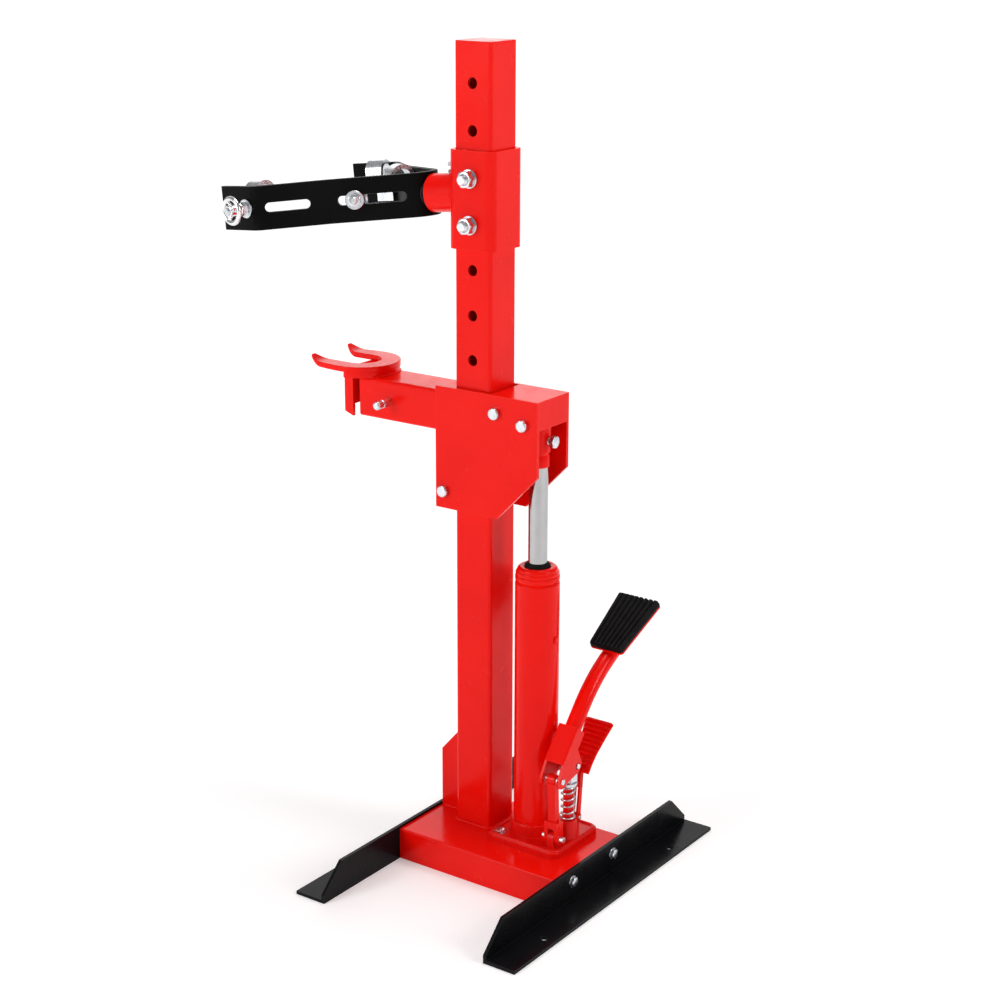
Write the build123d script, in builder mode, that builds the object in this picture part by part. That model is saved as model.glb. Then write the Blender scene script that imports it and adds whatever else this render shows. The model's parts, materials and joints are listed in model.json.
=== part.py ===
from build123d import *
import math
import os

# Coil spring compressor: floor-standing column with a foot-pumped ram that
# lifts a carriage and lower fork towards an adjustable upper jaw.
# Millimetres. +Z up, +X from the column to the pump, +Y the way the pedals reach.
# The origin is the centre of the four floor anchor holes, on the floor.

# ---- driving dimensions: base and feet ----
base_length = 274.0
base_width = 172.0
base_height = 47.0
base_wall = 5.0
base_end_clearance = 2.0
foot_leg = 51.0
foot_thickness = 5.0
foot_length = 516.0
foot_slope = 40.0
foot_toe_height = 12.0
anchor_spacing_y = 328.0
anchor_hole_d = 11.0
anchor_inset = 34.0
foot_bolt_d = 8.0
foot_bolt_spacing = 104.0
foot_bolt_z = 33.5
foot_bolt_head = 13.0
foot_bolt_head_height = 5.5
foot_bolt_length = 20.0
foot_nut_height = 6.5

# ---- column, sleeve and stub ----
column_x = -59.0
column_y = 18.0
column_side = 60.0
column_wall = 4.0
column_corner = 5.0
column_top = 1165.0
column_cap_thickness = 4.0
column_cap_round = 1.2
hole_pitch = 62.0
hole_d = 15.5
lowest_hole_z = 743.0
hole_count = 7
first_sleeve_hole = 3
gusset_thickness = 6.0
gusset_height = 145.0
gusset_nose = 92.0
gusset_inset = 2.0
sleeve_bottom = 895.0
sleeve_height = 133.0
sleeve_wall = 6.0
sleeve_play = 1.0
sleeve_bolt_d = 14.0
sleeve_bolt_head = 21.0
sleeve_head_height = 9.0
sleeve_nut_height = 11.0
sleeve_bolt_tail = 20.0
stub_d = 53.0
stub_bore = 43.0
stub_droop = 5.9
stub_axis_z = 965.5
stub_reach = 48.5
stub_weld_depth = 8.0
lock_screw_d = 10.0
lock_screw_reach = 16.0
lock_screw_at = 11.0
lock_head_height = 6.0
lock_nut_height = 5.6
lock_nut_gap = 0.6
lock_groove_depth = 4.0
running_gap = 0.4

# ---- carriage and lower fork ----
plate_gap = 66.4
plate_thickness = 5.0
plate_left = 57.8
plate_right = 113.4
plate_bottom = 527.0
plate_top = 702.0
plate_chamfer_x = 66.7
plate_chamfer_z = 69.0
cap_drop = 40.3
cap_gap = 4.0
arm_reach = 197.0
arm_height = 58.0
arm_bottom = 636.0
arm_wall = 4.0
roller_radius = 13.5
roller_gap = 0.3
roller_side_gap = 2.0
roller_chamfer = 1.0
axle_d = 14.0
axle_head_d = 17.0
axle_head_height = 7.0
axle_tail = 5.0
upper_roller_z = 677.0
lower_roller_z = 552.0
fork_centre = 218.0
fork_radius = 55.0
fork_slot_radius = 27.0
fork_thickness = 8.0
fork_reach = 42.0
fork_prong_share = 0.92
fork_tip_run = 14.0
fork_tip_rise = 9.0
fork_hub_thickness = 8.0
fork_hub_radius = 54.0
lug_wall = 5.0
lug_depth = 63.0
lug_length = 15.0
lug_width = 66.0
lug_gap = 13.0
lug_slant = 5.5
lug_web = 5.0
lug_web_depth = 51.0
bridge_overlap = 8.0
cross_pin_d = 12.0
cross_pin_x = 143.5
cross_pin_z = 664.0
cross_pin_reach = 31.0
cross_pin_tail = 12.0

# ---- ram and pump ----
ram_x = 90.0
reservoir_d = 63.0
reservoir_wall = 3.0
reservoir_top = 450.0
reservoir_collar_d = 73.0
reservoir_collar_height = 18.0
pump_plate_length = 122.0
pump_plate_width = 114.0
pump_plate_thickness = 10.0
pump_plate_corner = 12.0
pump_plate_centre_x = 103.0
pump_screw_places = ((58.0, -44.0), (58.0, 44.0), (108.0, 47.0))
pump_screw_d = 8.0
pump_screw_head = 13.0
pump_screw_head_height = 5.0
filler_z = 354.0
filler_d = 10.0
filler_head = 3.0
filler_seat = 4.0
release_valve_x = 128.0
release_valve_y = 32.0
release_valve_d = 14.0
release_valve_height = 14.0
inner_cylinder_d = 44.0
inner_cylinder_wall = 5.0
rod_d = 27.0
rod_play = 0.1
rod_bottom = 222.0
rod_socket = 10.0
piston_height = 25.0
piston_play = 0.1
gland_height = 22.0
gland_flange_d = 61.0
gland_flange_height = 8.0
wiper_height = 5.0
wiper_wall = 5.0
ram_neck_bottom = 602.0
ram_head_bottom = 620.0
ram_head_top = 684.0
ram_head_d = 34.0
ram_neck_d = 31.0
ram_pin_z = 667.0
ram_pin_d = 14.0
clamp_bolt_z = 640.0
clamp_bolt_d = 10.0
clamp_bolt_reach = 5.0
clamp_bolt_start = 2.0
clamp_head_height = 6.5
plunger_x = 146.0
plunger_d = 14.0
plunger_play = 0.1
plunger_bottom = 76.0
plunger_end_gap = 16.0
plunger_top = 140.0
boss_top = 86.0
boss_d_low = 32.0
boss_d_top = 24.0
spring_wire = 2.4
spring_mean_d = 19.0
spring_turns = 5.0
clevis_width = 20.0
clevis_depth = 16.0
clevis_top = 180.0
plunger_pin_z = 172.0
plunger_pin_d = 8.0
plunger_pin_play = 1.4
link_lower_y = -36.0
link_lower_z = 71.0
link_upper_y = -39.0
link_upper_z = 162.0
link_pin_d = 9.0
link_width = 13.0
link_depth = 9.0
link_eye = 0.85
link_lug_width = 10.0
link_side_gap = 0.5
link_fork_height = 26.0
link_pin_length = 36.0
fork_cheek = 5.5
link_overlap = 4.0
link_clearance = 10.0
pivot_play = 0.05
channel_wall = 3.5
channel_width = 32.0
channel_length = 77.0
channel_angle = 49.5
channel_roof = 17.5
channel_roof_start = 20.0
channel_mouth = 6.0
channel_waist = 52.0
channel_nose = 10.5
channel_pin_margin = 9.0
channel_pin_step = 5.0
tube_start_along = 54.0
tube_under_tread = 60.0
pedal_tube_d = 24.0
pedal_tube_wall = 2.5
pedal_bend_radius = 230.0
tread_low_y = 89.0
tread_low_z = 322.0
tread_angle = 28.0
tread_length = 105.0
tread_low_width = 55.0
tread_high_width = 71.0
tread_plate_thickness = 3.0
pad_thickness = 8.0
tread_corner = 5.0
spring_seat = 4.0
spring_seat_rim = 3.0
release_pin_y = 20.0
release_pin_z = 82.0
release_pin_d = 6.0
release_pin_length = 18.0
release_lug_width = 5.0
release_arm_thickness = 3.5
release_plate_low_y = 28.5
release_plate_low_z = 157.0
release_plate_angle = 47.5
release_plate_length = 75.0
release_low_width = 32.0
release_high_width = 48.0
release_plate_thickness = 5.0
release_waist_share = 0.42
release_waist_along = 48.0
release_foot = 6.0
release_corner = 4.0

# ---- upper jaw ----
yoke_height = 60.0
yoke_thickness = 8.0
yoke_apex = 53.0
yoke_first_bend = (111.0, 87.0)
yoke_second_bend = (183.0, 155.0)
yoke_tip = (251.0, 142.5)
yoke_apex_radius = 30.0
yoke_corner = -25.4
yoke_bend_radius = 14.0
shaft_start = 4.0
shaft_overlap = 4.0
yoke_slot_width = 13.0
first_slot = (55.0, 150.0)
second_slot = (26.0, 88.0)
third_slot = (6.0, 44.0)
hook_bolt_d = 10.0
bolt_tail = 3.0
hook_width = 26.0
hook_plate = 6.0
hook_saddle_radius = 12.0
hook_plate_low = 26.0
hook_plate_top = 14.0
hook_saddle_high = 18.0
hook_saddle_low = -8.0
hook_lip = 14.0
hook_gap = 0.3
first_hook_at = 126.5
third_hook_at = 18.0
washer_d = 26.0
washer_thickness = 2.5
nut_across_flats = 16.0
nut_height = 8.0
wheel_ring_d = 40.0
wheel_wire_d = 6.5
wheel_standoff = 1.0
wheel_hub_d = 15.0
wheel_hub_length = 20.0
wheel_spokes = 3

# ---- places worked out from those sizes ----
half_column = column_side / 2
base_end = base_length / 2
pump_y = column_y
floor_y = anchor_spacing_y / 2
anchor_x = base_end + anchor_inset
hole_heights = [lowest_hole_z + hole_pitch * i for i in range(hole_count)]
sleeve_holes = hole_heights[first_sleeve_hole:first_sleeve_hole + 2]
sleeve_inner = column_side + 2 * sleeve_play
sleeve_outer = sleeve_inner + 2 * sleeve_wall
outer_gap = plate_gap / 2 + plate_thickness
ram_centre_x = column_x + ram_x
plunger_centre_x = column_x + plunger_x
arm_top = arm_bottom + arm_height


def tube_section(side, wall, corner):
    """Square tube outline, drawn in the current sketch."""
    RectangleRounded(side, side, corner)
    RectangleRounded(side - 2 * wall, side - 2 * wall, max(corner - wall, 0.5), mode=Mode.SUBTRACT)


os.makedirs("parts", exist_ok=True)
finished = []


def finish(builder, name):
    """Label one finished piece and write its file."""
    builder.part.label = name
    export_step(builder.part, "parts/" + name + ".step")
    finished.append(name)


# =================== base ===================
with BuildPart() as base_channel:
    with BuildSketch(Plane.YZ.offset(-base_end)):
        with Locations((0, base_height / 2)):
            Rectangle(base_width, base_height)
        with Locations((0, (base_height - base_wall) / 2)):
            Rectangle(base_width - 2 * base_wall, base_height - base_wall, mode=Mode.SUBTRACT)
    extrude(amount=base_length)
    fillet(base_channel.edges().filter_by(Axis.X).group_by(Axis.Z)[-1], radius=base_wall * 0.6)
finish(base_channel, "base_channel")

with BuildPart() as base_ends:
    for side in (-1, 1):
        with BuildSketch(Plane.YZ.offset(side * base_end)):
            with Locations((0, (base_height - base_wall + base_end_clearance) / 2)):
                Rectangle(base_width - 2 * base_wall, base_height - base_wall - base_end_clearance)
            with Locations((-foot_bolt_spacing / 2, foot_bolt_z), (foot_bolt_spacing / 2, foot_bolt_z)):
                Circle(foot_bolt_d / 2, mode=Mode.SUBTRACT)
        extrude(amount=-side * base_wall)
finish(base_ends, "base_ends")

for side, foot_name in ((-1, "foot_angle_left"), (1, "foot_angle_right")):
    with BuildPart() as foot:
        inner = side * base_end
        with BuildSketch(Plane.XY):
            with Locations((inner + side * foot_leg / 2, 0)):
                Rectangle(foot_leg, foot_length)
            with Locations((side * anchor_x, -floor_y), (side * anchor_x, floor_y)):
                Circle(anchor_hole_d / 2, mode=Mode.SUBTRACT)
        extrude(amount=foot_thickness)
        with BuildSketch(Plane.YZ.offset(inner)):
            with BuildLine():
                Polyline(
                    (-foot_length / 2, 0),
                    (foot_length / 2, 0),
                    (foot_length / 2, foot_toe_height),
                    (foot_length / 2 - foot_slope, foot_leg),
                    (-foot_length / 2 + foot_slope, foot_leg),
                    (-foot_length / 2, foot_toe_height),
                    close=True,
                )
            make_face()
            with Locations((-foot_bolt_spacing / 2, foot_bolt_z), (foot_bolt_spacing / 2, foot_bolt_z)):
                Circle(foot_bolt_d / 2, mode=Mode.SUBTRACT)
        extrude(amount=side * foot_thickness)
    finish(foot, foot_name)

with BuildPart() as foot_bolts:
    for side in (-1, 1):
        outer_face = side * (base_end + foot_thickness)
        with BuildSketch(Plane.YZ.offset(outer_face)):
            with Locations((-foot_bolt_spacing / 2, foot_bolt_z), (foot_bolt_spacing / 2, foot_bolt_z)):
                RegularPolygon(foot_bolt_head / 2, 6, major_radius=False)
        extrude(amount=side * foot_bolt_head_height)
        with BuildSketch(Plane.YZ.offset(outer_face)):
            with Locations((-foot_bolt_spacing / 2, foot_bolt_z), (foot_bolt_spacing / 2, foot_bolt_z)):
                Circle(foot_bolt_d / 2)
        extrude(amount=-side * foot_bolt_length)
finish(foot_bolts, "foot_bolts")

with BuildPart() as foot_nuts:
    for side in (-1, 1):
        with BuildSketch(Plane.YZ.offset(side * (base_end - base_wall))):
            with Locations((-foot_bolt_spacing / 2, foot_bolt_z), (foot_bolt_spacing / 2, foot_bolt_z)):
                RegularPolygon(foot_bolt_head / 2, 6, major_radius=False)
                Circle(foot_bolt_d / 2, mode=Mode.SUBTRACT)
        extrude(amount=-side * foot_nut_height)
finish(foot_nuts, "foot_nuts")


# =================== column ===================
with BuildPart() as column_tube:
    with BuildSketch(Plane.XY.offset(base_height)):
        with Locations((column_x, column_y)):
            tube_section(column_side, column_wall, column_corner)
    extrude(amount=column_top - base_height)
    with BuildSketch(Plane.XZ.offset(-column_y)):
        with Locations(*[(column_x, z) for z in hole_heights]):
            Circle(hole_d / 2)
    extrude(amount=column_side, both=True, mode=Mode.SUBTRACT)
finish(column_tube, "column_tube")

with BuildPart() as column_cap:
    with BuildSketch(Plane.XY.offset(column_top)):
        with Locations((column_x, column_y)):
            RectangleRounded(column_side, column_side, column_corner)
    extrude(amount=column_cap_thickness)
    fillet(column_cap.edges().group_by(Axis.Z)[-1], radius=column_cap_round)
finish(column_cap, "column_cap")

column_left = column_x - half_column
with BuildPart() as column_gusset:
    with BuildSketch(Plane.XZ.offset(-column_y)):
        with BuildLine():
            Polyline(
                (column_left, base_height),
                (gusset_inset - base_end, base_height),
                (gusset_inset - base_end, base_height + gusset_nose),
                (column_left, base_height + gusset_height),
                close=True,
            )
        make_face()
    extrude(amount=gusset_thickness / 2, both=True)
finish(column_gusset, "column_gusset")


# =================== sleeve and stub ===================
with BuildPart() as sleeve:
    with BuildSketch(Plane.XY.offset(sleeve_bottom)):
        with Locations((column_x, column_y)):
            tube_section(sleeve_outer, sleeve_wall, column_corner + sleeve_play + sleeve_wall)
    extrude(amount=sleeve_height)
    with BuildSketch(Plane.XZ.offset(-column_y)):
        with Locations(*[(column_x, z) for z in sleeve_holes]):
            Circle(hole_d / 2)
    extrude(amount=sleeve_outer, both=True, mode=Mode.SUBTRACT)
finish(sleeve, "sleeve")

sleeve_half = sleeve_outer / 2
with BuildPart() as sleeve_bolts:
    for z in sleeve_holes:
        with BuildSketch(Plane.XZ.offset(-(column_y + sleeve_half))):
            with Locations((column_x, z)):
                Circle(sleeve_bolt_d / 2)
        extrude(amount=sleeve_outer + sleeve_bolt_tail)
        with BuildSketch(Plane.XZ.offset(-(column_y + sleeve_half))):
            with Locations((column_x, z)):
                RegularPolygon(sleeve_bolt_head / 2, 6, major_radius=False)
        extrude(amount=-sleeve_head_height)
finish(sleeve_bolts, "sleeve_bolts")

with BuildPart() as sleeve_nuts:
    near_face = -(column_y - sleeve_half)
    for z in sleeve_holes:
        with BuildSketch(Plane.XZ.offset(near_face)):
            with Locations((column_x, z)):
                Circle(washer_d / 2)
                Circle(sleeve_bolt_d / 2, mode=Mode.SUBTRACT)
        extrude(amount=washer_thickness)
        with BuildSketch(Plane.XZ.offset(near_face + washer_thickness)):
            with Locations((column_x, z)):
                RegularPolygon(sleeve_bolt_head / 2, 6, major_radius=False)
                Circle(sleeve_bolt_d / 2, mode=Mode.SUBTRACT)
        extrude(amount=sleeve_nut_height)
finish(sleeve_nuts, "sleeve_nuts")

# The stub and jaw share an axis that leaves the sleeve's left face and droops.
droop = math.radians(stub_droop)
sleeve_left = column_x - sleeve_half
stub_root = Vector(sleeve_left, column_y, stub_axis_z)
outward = Vector(-math.cos(droop), 0, -math.sin(droop))
upward = Vector(-math.sin(droop), 0, math.cos(droop))
across = Vector(0, -1, 0)
jaw_plane = Plane(origin=stub_root, x_dir=outward, z_dir=upward)


def axis_plane(distance):
    """Plane square to the jaw axis, this far out along it, with its Y up."""
    return Plane(origin=stub_root + outward * distance, x_dir=across, z_dir=outward)


with BuildPart() as sleeve_stub:
    with BuildSketch(axis_plane(-stub_weld_depth)):
        Circle(stub_d / 2)
        Circle(stub_bore / 2, mode=Mode.SUBTRACT)
    extrude(amount=stub_reach + stub_weld_depth)
    with BuildSketch(Plane.YZ.offset(sleeve_left)):
        with Locations((column_y, stub_axis_z)):
            Rectangle(2 * stub_d, 2 * stub_d)
    extrude(amount=2 * stub_d, mode=Mode.SUBTRACT)
    with BuildSketch(Plane(origin=stub_root + outward * lock_screw_at, x_dir=outward, z_dir=upward)):
        Circle(lock_screw_d / 2)
    extrude(amount=stub_d, mode=Mode.SUBTRACT)
finish(sleeve_stub, "sleeve_stub")

groove_radius = stub_bore / 2 - lock_groove_depth
with BuildPart() as jaw_lock_screw:
    with BuildSketch(Plane(origin=stub_root + outward * lock_screw_at, x_dir=outward,
                           z_dir=upward).offset(groove_radius + running_gap)):
        Circle(lock_screw_d / 2)
    extrude(amount=stub_d / 2 + lock_screw_reach - groove_radius - running_gap)
    with BuildSketch(Plane(origin=stub_root + outward * lock_screw_at, x_dir=outward,
                           z_dir=upward).offset(stub_d / 2 + lock_screw_reach - lock_head_height)):
        RegularPolygon(nut_across_flats / 2, 6, major_radius=False)
    extrude(amount=lock_head_height)
    with BuildSketch(Plane(origin=stub_root + outward * lock_screw_at, x_dir=outward,
                           z_dir=upward).offset(stub_d / 2 + lock_nut_gap)):
        RegularPolygon(nut_across_flats / 2, 6, major_radius=False)
    extrude(amount=lock_nut_height)
finish(jaw_lock_screw, "jaw_lock_screw")


# =================== pump base, reservoir and ram barrel ===================
plate_x = column_x + pump_plate_centre_x
plate_z = base_height + pump_plate_thickness
with BuildPart() as pump_base:
    with BuildSketch(Plane.XY.offset(base_height)):
        with Locations((plate_x, pump_y)):
            RectangleRounded(pump_plate_length, pump_plate_width, pump_plate_corner)
    extrude(amount=pump_plate_thickness)
    fillet(pump_base.edges().group_by(Axis.Z)[-1], radius=2.0)
    with BuildSketch(Plane.XY.offset(plate_z)):
        with Locations((ram_centre_x, pump_y)):
            Circle(reservoir_collar_d / 2)
    extrude(amount=reservoir_collar_height)
    fillet(pump_base.edges().group_by(Axis.Z)[-1], radius=2.0)
    with BuildSketch(Plane.XY.offset(plate_z)):
        with Locations((ram_centre_x, pump_y)):
            Circle(reservoir_d / 2)
    extrude(amount=reservoir_collar_height, mode=Mode.SUBTRACT)
    with BuildSketch(Plane.XY.offset(plate_z)):
        with Locations((plunger_centre_x, pump_y)):
            Circle(boss_d_low / 2)
    with BuildSketch(Plane.XY.offset(boss_top)):
        with Locations((plunger_centre_x, pump_y)):
            Circle(boss_d_top / 2)
    loft()
    for pin_y, pin_z, lug_wide, pin_d in (
        (link_lower_y, link_lower_z, link_lug_width, link_pin_d),
        (release_pin_y, release_pin_z, release_lug_width, release_pin_d),
    ):
        with BuildSketch(Plane.YZ.offset(plunger_centre_x - lug_wide / 2)):
            with Locations((column_y + pin_y, pin_z)):
                Circle(pin_d)
            with Locations((column_y + pin_y, (plate_z - 1 + pin_z) / 2)):
                Rectangle(2 * pin_d, pin_z - plate_z + 1)
            with Locations((column_y + pin_y, pin_z)):
                Circle(pin_d / 2, mode=Mode.SUBTRACT)
        extrude(amount=lug_wide)
    with BuildSketch(Plane.XY.offset(plunger_bottom - plunger_end_gap)):
        with Locations((plunger_centre_x, pump_y)):
            Circle(plunger_d / 2 + plunger_play)
    extrude(amount=boss_top, mode=Mode.SUBTRACT)
    with BuildSketch(Plane.XY.offset(plate_z)):
        with Locations(*[(column_x + x, column_y + y) for x, y in pump_screw_places]):
            Circle(pump_screw_d / 2)
    extrude(amount=-pump_plate_thickness, mode=Mode.SUBTRACT)
finish(pump_base, "pump_base")

with BuildPart() as pump_screws:
    with BuildSketch(Plane.XY.offset(base_height)):
        with Locations(*[(column_x + x, column_y + y) for x, y in pump_screw_places]):
            Circle(pump_screw_d / 2)
    extrude(amount=pump_plate_thickness)
    with BuildSketch(Plane.XY.offset(plate_z)):
        with Locations(*[(column_x + x, column_y + y) for x, y in pump_screw_places]):
            RegularPolygon(pump_screw_head / 2, 6, major_radius=False)
    extrude(amount=pump_screw_head_height)
finish(pump_screws, "pump_screws")

with BuildPart() as reservoir_tube:
    with BuildSketch(Plane.XY.offset(plate_z)):
        with Locations((ram_centre_x, pump_y)):
            Circle(reservoir_d / 2)
            Circle(reservoir_d / 2 - reservoir_wall, mode=Mode.SUBTRACT)
    extrude(amount=reservoir_top - plate_z)
    with BuildSketch(Plane.YZ.offset(ram_centre_x)):
        with Locations((pump_y, filler_z)):
            Circle(filler_d / 2)
    extrude(amount=reservoir_d, mode=Mode.SUBTRACT)
finish(reservoir_tube, "reservoir_tube")

with BuildPart() as filler_plug:
    with BuildSketch(Plane.YZ.offset(ram_centre_x + reservoir_d / 2 - filler_seat)):
        with Locations((pump_y, filler_z)):
            Circle(filler_d / 2)
    extrude(amount=filler_seat + filler_head)
    fillet(filler_plug.edges().group_by(Axis.X)[-1], radius=1.0)
finish(filler_plug, "filler_plug")

inner_bore = inner_cylinder_d - 2 * inner_cylinder_wall
with BuildPart() as ram_cylinder:
    with BuildSketch(Plane.XY.offset(plate_z)):
        with Locations((ram_centre_x, pump_y)):
            Circle(inner_cylinder_d / 2)
            Circle(inner_bore / 2, mode=Mode.SUBTRACT)
    extrude(amount=reservoir_top - gland_height - plate_z)
finish(ram_cylinder, "ram_cylinder")

with BuildPart() as gland_nut:
    with BuildSketch(Plane.XY.offset(reservoir_top - gland_height)):
        with Locations((ram_centre_x, pump_y)):
            Circle(reservoir_d / 2 - reservoir_wall)
    extrude(amount=gland_height)
    with BuildSketch(Plane.XY.offset(reservoir_top)):
        with Locations((ram_centre_x, pump_y)):
            Circle(gland_flange_d / 2)
    extrude(amount=gland_flange_height)
    fillet(gland_nut.edges().group_by(Axis.Z)[-1], radius=2.0)
    with BuildSketch(Plane.XY.offset(reservoir_top - gland_height)):
        with Locations((ram_centre_x, pump_y)):
            Circle(rod_d / 2 + rod_play)
    extrude(amount=gland_height + gland_flange_height, mode=Mode.SUBTRACT)
finish(gland_nut, "gland_nut")

wiper_z = reservoir_top + gland_flange_height
with BuildPart() as wiper_seal:
    with BuildSketch(Plane.XY.offset(wiper_z)):
        with Locations((ram_centre_x, pump_y)):
            Circle(rod_d / 2 + wiper_wall)
            Circle(rod_d / 2 + rod_play, mode=Mode.SUBTRACT)
    extrude(amount=wiper_height)
    fillet(wiper_seal.edges().group_by(Axis.Z)[-1].sort_by(SortBy.LENGTH)[-1], radius=1.5)
finish(wiper_seal, "wiper_seal")

with BuildPart() as release_valve:
    with BuildSketch(Plane.XY.offset(plate_z)):
        with Locations((column_x + release_valve_x, column_y + release_valve_y)):
            RegularPolygon(release_valve_d / 2, 6, major_radius=False)
    extrude(amount=release_valve_height)
    with BuildSketch(Plane.XY.offset(plate_z + release_valve_height)):
        with Locations((column_x + release_valve_x, column_y + release_valve_y)):
            Circle(release_valve_d / 4)
    extrude(amount=release_valve_height / 2)
finish(release_valve, "release_valve")

with BuildPart() as pump_base_pins:
    for pin_y, pin_z, pin_d, pin_length in (
        (link_lower_y, link_lower_z, link_pin_d, link_pin_length),
        (release_pin_y, release_pin_z, release_pin_d, release_pin_length),
    ):
        with BuildSketch(Plane.YZ.offset(plunger_centre_x - pin_length / 2)):
            with Locations((column_y + pin_y, pin_z)):
                Circle(pin_d / 2)
        extrude(amount=pin_length)
finish(pump_base_pins, "pump_base_pins")


# =================== pump link ===================
link_side = link_lug_width / 2 + link_side_gap
with BuildPart() as pump_link:
    with BuildSketch(Plane.YZ.offset(plunger_centre_x - link_side - fork_cheek)):
        with Locations((column_y + link_lower_y, link_lower_z)):
            Circle(link_depth * link_eye)
        with Locations((column_y + link_lower_y, link_lower_z + link_fork_height / 2)):
            Rectangle(2 * link_depth * link_eye, link_fork_height)
        with Locations((column_y + link_lower_y, link_lower_z)):
            Circle(link_pin_d / 2 + pivot_play, mode=Mode.SUBTRACT)
    extrude(amount=2 * (link_side + fork_cheek))
    with BuildSketch(Plane.YZ.offset(plunger_centre_x - link_side)):
        with Locations((column_y + link_lower_y, link_lower_z + (link_fork_height - 3 * link_clearance) / 2)):
            Rectangle(link_depth * 3, link_fork_height + link_clearance)
    extrude(amount=2 * link_side, mode=Mode.SUBTRACT)
    with BuildSketch(Plane.YZ.offset(plunger_centre_x - link_width / 2)):
        with BuildLine():
            Polyline(
                (column_y + link_lower_y - link_depth / 2, link_lower_z + link_fork_height - link_overlap),
                (column_y + link_lower_y + link_depth / 2, link_lower_z + link_fork_height - link_overlap),
                (column_y + link_upper_y + link_depth / 2, link_upper_z),
                (column_y + link_upper_y - link_depth / 2, link_upper_z),
                close=True,
            )
        make_face()
        with Locations((column_y + link_upper_y, link_upper_z)):
            Circle(link_depth * link_eye)
            Circle(link_pin_d / 2, mode=Mode.SUBTRACT)
    extrude(amount=link_width)
finish(pump_link, "pump_link")

with BuildPart() as pedal_pivot_pin:
    with BuildSketch(Plane.YZ.offset(plunger_centre_x - link_pin_length / 2)):
        with Locations((column_y + link_upper_y, link_upper_z)):
            Circle(link_pin_d / 2)
    extrude(amount=link_pin_length)
finish(pedal_pivot_pin, "pedal_pivot_pin")


# =================== pedal ===================
channel_tilt = math.radians(channel_angle)
along = Vector(0, math.cos(channel_tilt), math.sin(channel_tilt))
outer_side = Vector(0, -math.sin(channel_tilt), math.cos(channel_tilt))
pivot = Vector(plunger_centre_x, column_y + link_upper_y, link_upper_z)
plunger_pin = Vector(plunger_centre_x, pump_y, plunger_pin_z)
# The channel's own frame: X along it, Y to its closed side, Z across it.
channel_plane = Plane(origin=pivot, x_dir=along, z_dir=Vector(1, 0, 0))
pin_offset = plunger_pin - pivot
pin_along = pin_offset.dot(along)
pin_out = pin_offset.dot(outer_side)

with BuildPart() as pedal_channel:
    with BuildSketch(channel_plane.offset(-channel_width / 2)):
        with BuildLine():
            Polyline(
                (channel_roof_start, channel_roof),
                (channel_length, channel_roof),
                (channel_length, -channel_mouth),
                (channel_waist, -channel_mouth),
                (pin_along + channel_pin_margin, pin_out - channel_pin_step),
                (pin_along - channel_pin_step, pin_out - channel_pin_margin),
                (0, -channel_nose),
                (0, channel_nose),
                (channel_roof_start, channel_roof - channel_wall),
                close=True,
            )
        make_face()
        Circle(channel_nose)
    extrude(amount=channel_width)
    with BuildSketch(channel_plane.offset(channel_wall - channel_width / 2)):
        with Locations((channel_length / 2, channel_roof - channel_wall - channel_length / 2)):
            Rectangle(2 * channel_length, channel_length)
    extrude(amount=channel_width - 2 * channel_wall, mode=Mode.SUBTRACT)
    with BuildSketch(channel_plane.offset(-channel_width / 2)):
        Circle(link_pin_d / 2 + pivot_play)
        with Locations((pin_along, pin_out)):
            Circle(plunger_pin_d / 2 + plunger_pin_play)
    extrude(amount=channel_width, mode=Mode.SUBTRACT)
    fillet(pedal_channel.edges().filter_by(GeomType.LINE).filter_by(
        lambda e: abs(e.tangent_at(0).dot(along)) > 0.999 and e.length > channel_length / 2
        and abs((e.center() - pivot).dot(outer_side) - channel_roof) < 0.01), radius=channel_wall * 0.8)
finish(pedal_channel, "pedal_channel")

tread_tilt = math.radians(tread_angle)
tread_along = Vector(0, math.cos(tread_tilt), math.sin(tread_tilt))
tread_normal = Vector(0, -math.sin(tread_tilt), math.cos(tread_tilt))
tread_low = Vector(plunger_centre_x, column_y + tread_low_y, tread_low_z)
tube_start = pivot + along * tube_start_along + outer_side * (channel_roof - channel_wall - pedal_tube_d / 2)
under_tread = tread_low - tread_normal * (pad_thickness + tread_plate_thickness + pedal_tube_d / 2)
reach = ((under_tread - tube_start).cross(tread_along)).X / (along.cross(tread_along)).X
tube_knee = tube_start + along * reach
tube_end = under_tread + tread_along * tube_under_tread

with BuildPart() as pedal_tube:
    with BuildLine() as tube_path:
        FilletPolyline(tube_start, tube_knee, tube_end, radius=pedal_bend_radius)
    with BuildSketch(Plane(origin=tube_start, x_dir=Vector(1, 0, 0), z_dir=along)):
        Circle(pedal_tube_d / 2)
        Circle(pedal_tube_d / 2 - pedal_tube_wall, mode=Mode.SUBTRACT)
    sweep()
finish(pedal_tube, "pedal_tube")

tread_plane = Plane(origin=tread_low, x_dir=Vector(1, 0, 0), z_dir=tread_normal)


def tread_outline():
    """Flared tread outline, wider at its far end, in the current sketch."""
    Polygon(
        (-tread_low_width / 2, 0),
        (tread_low_width / 2, 0),
        (tread_high_width / 2, tread_length),
        (-tread_high_width / 2, tread_length),
        align=None,
    )


with BuildPart() as tread_plate:
    with BuildSketch(tread_plane.offset(-pad_thickness - tread_plate_thickness)) as tread_sketch:
        tread_outline()
        fillet(tread_sketch.vertices(), radius=tread_corner)
    extrude(amount=tread_plate_thickness)
finish(tread_plate, "pedal_tread_plate")

with BuildPart() as pedal_pad:
    with BuildSketch(tread_plane.offset(-pad_thickness)) as pad_sketch:
        tread_outline()
        fillet(pad_sketch.vertices(), radius=tread_corner)
    extrude(amount=pad_thickness)
finish(pedal_pad, "pedal_pad")


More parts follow.
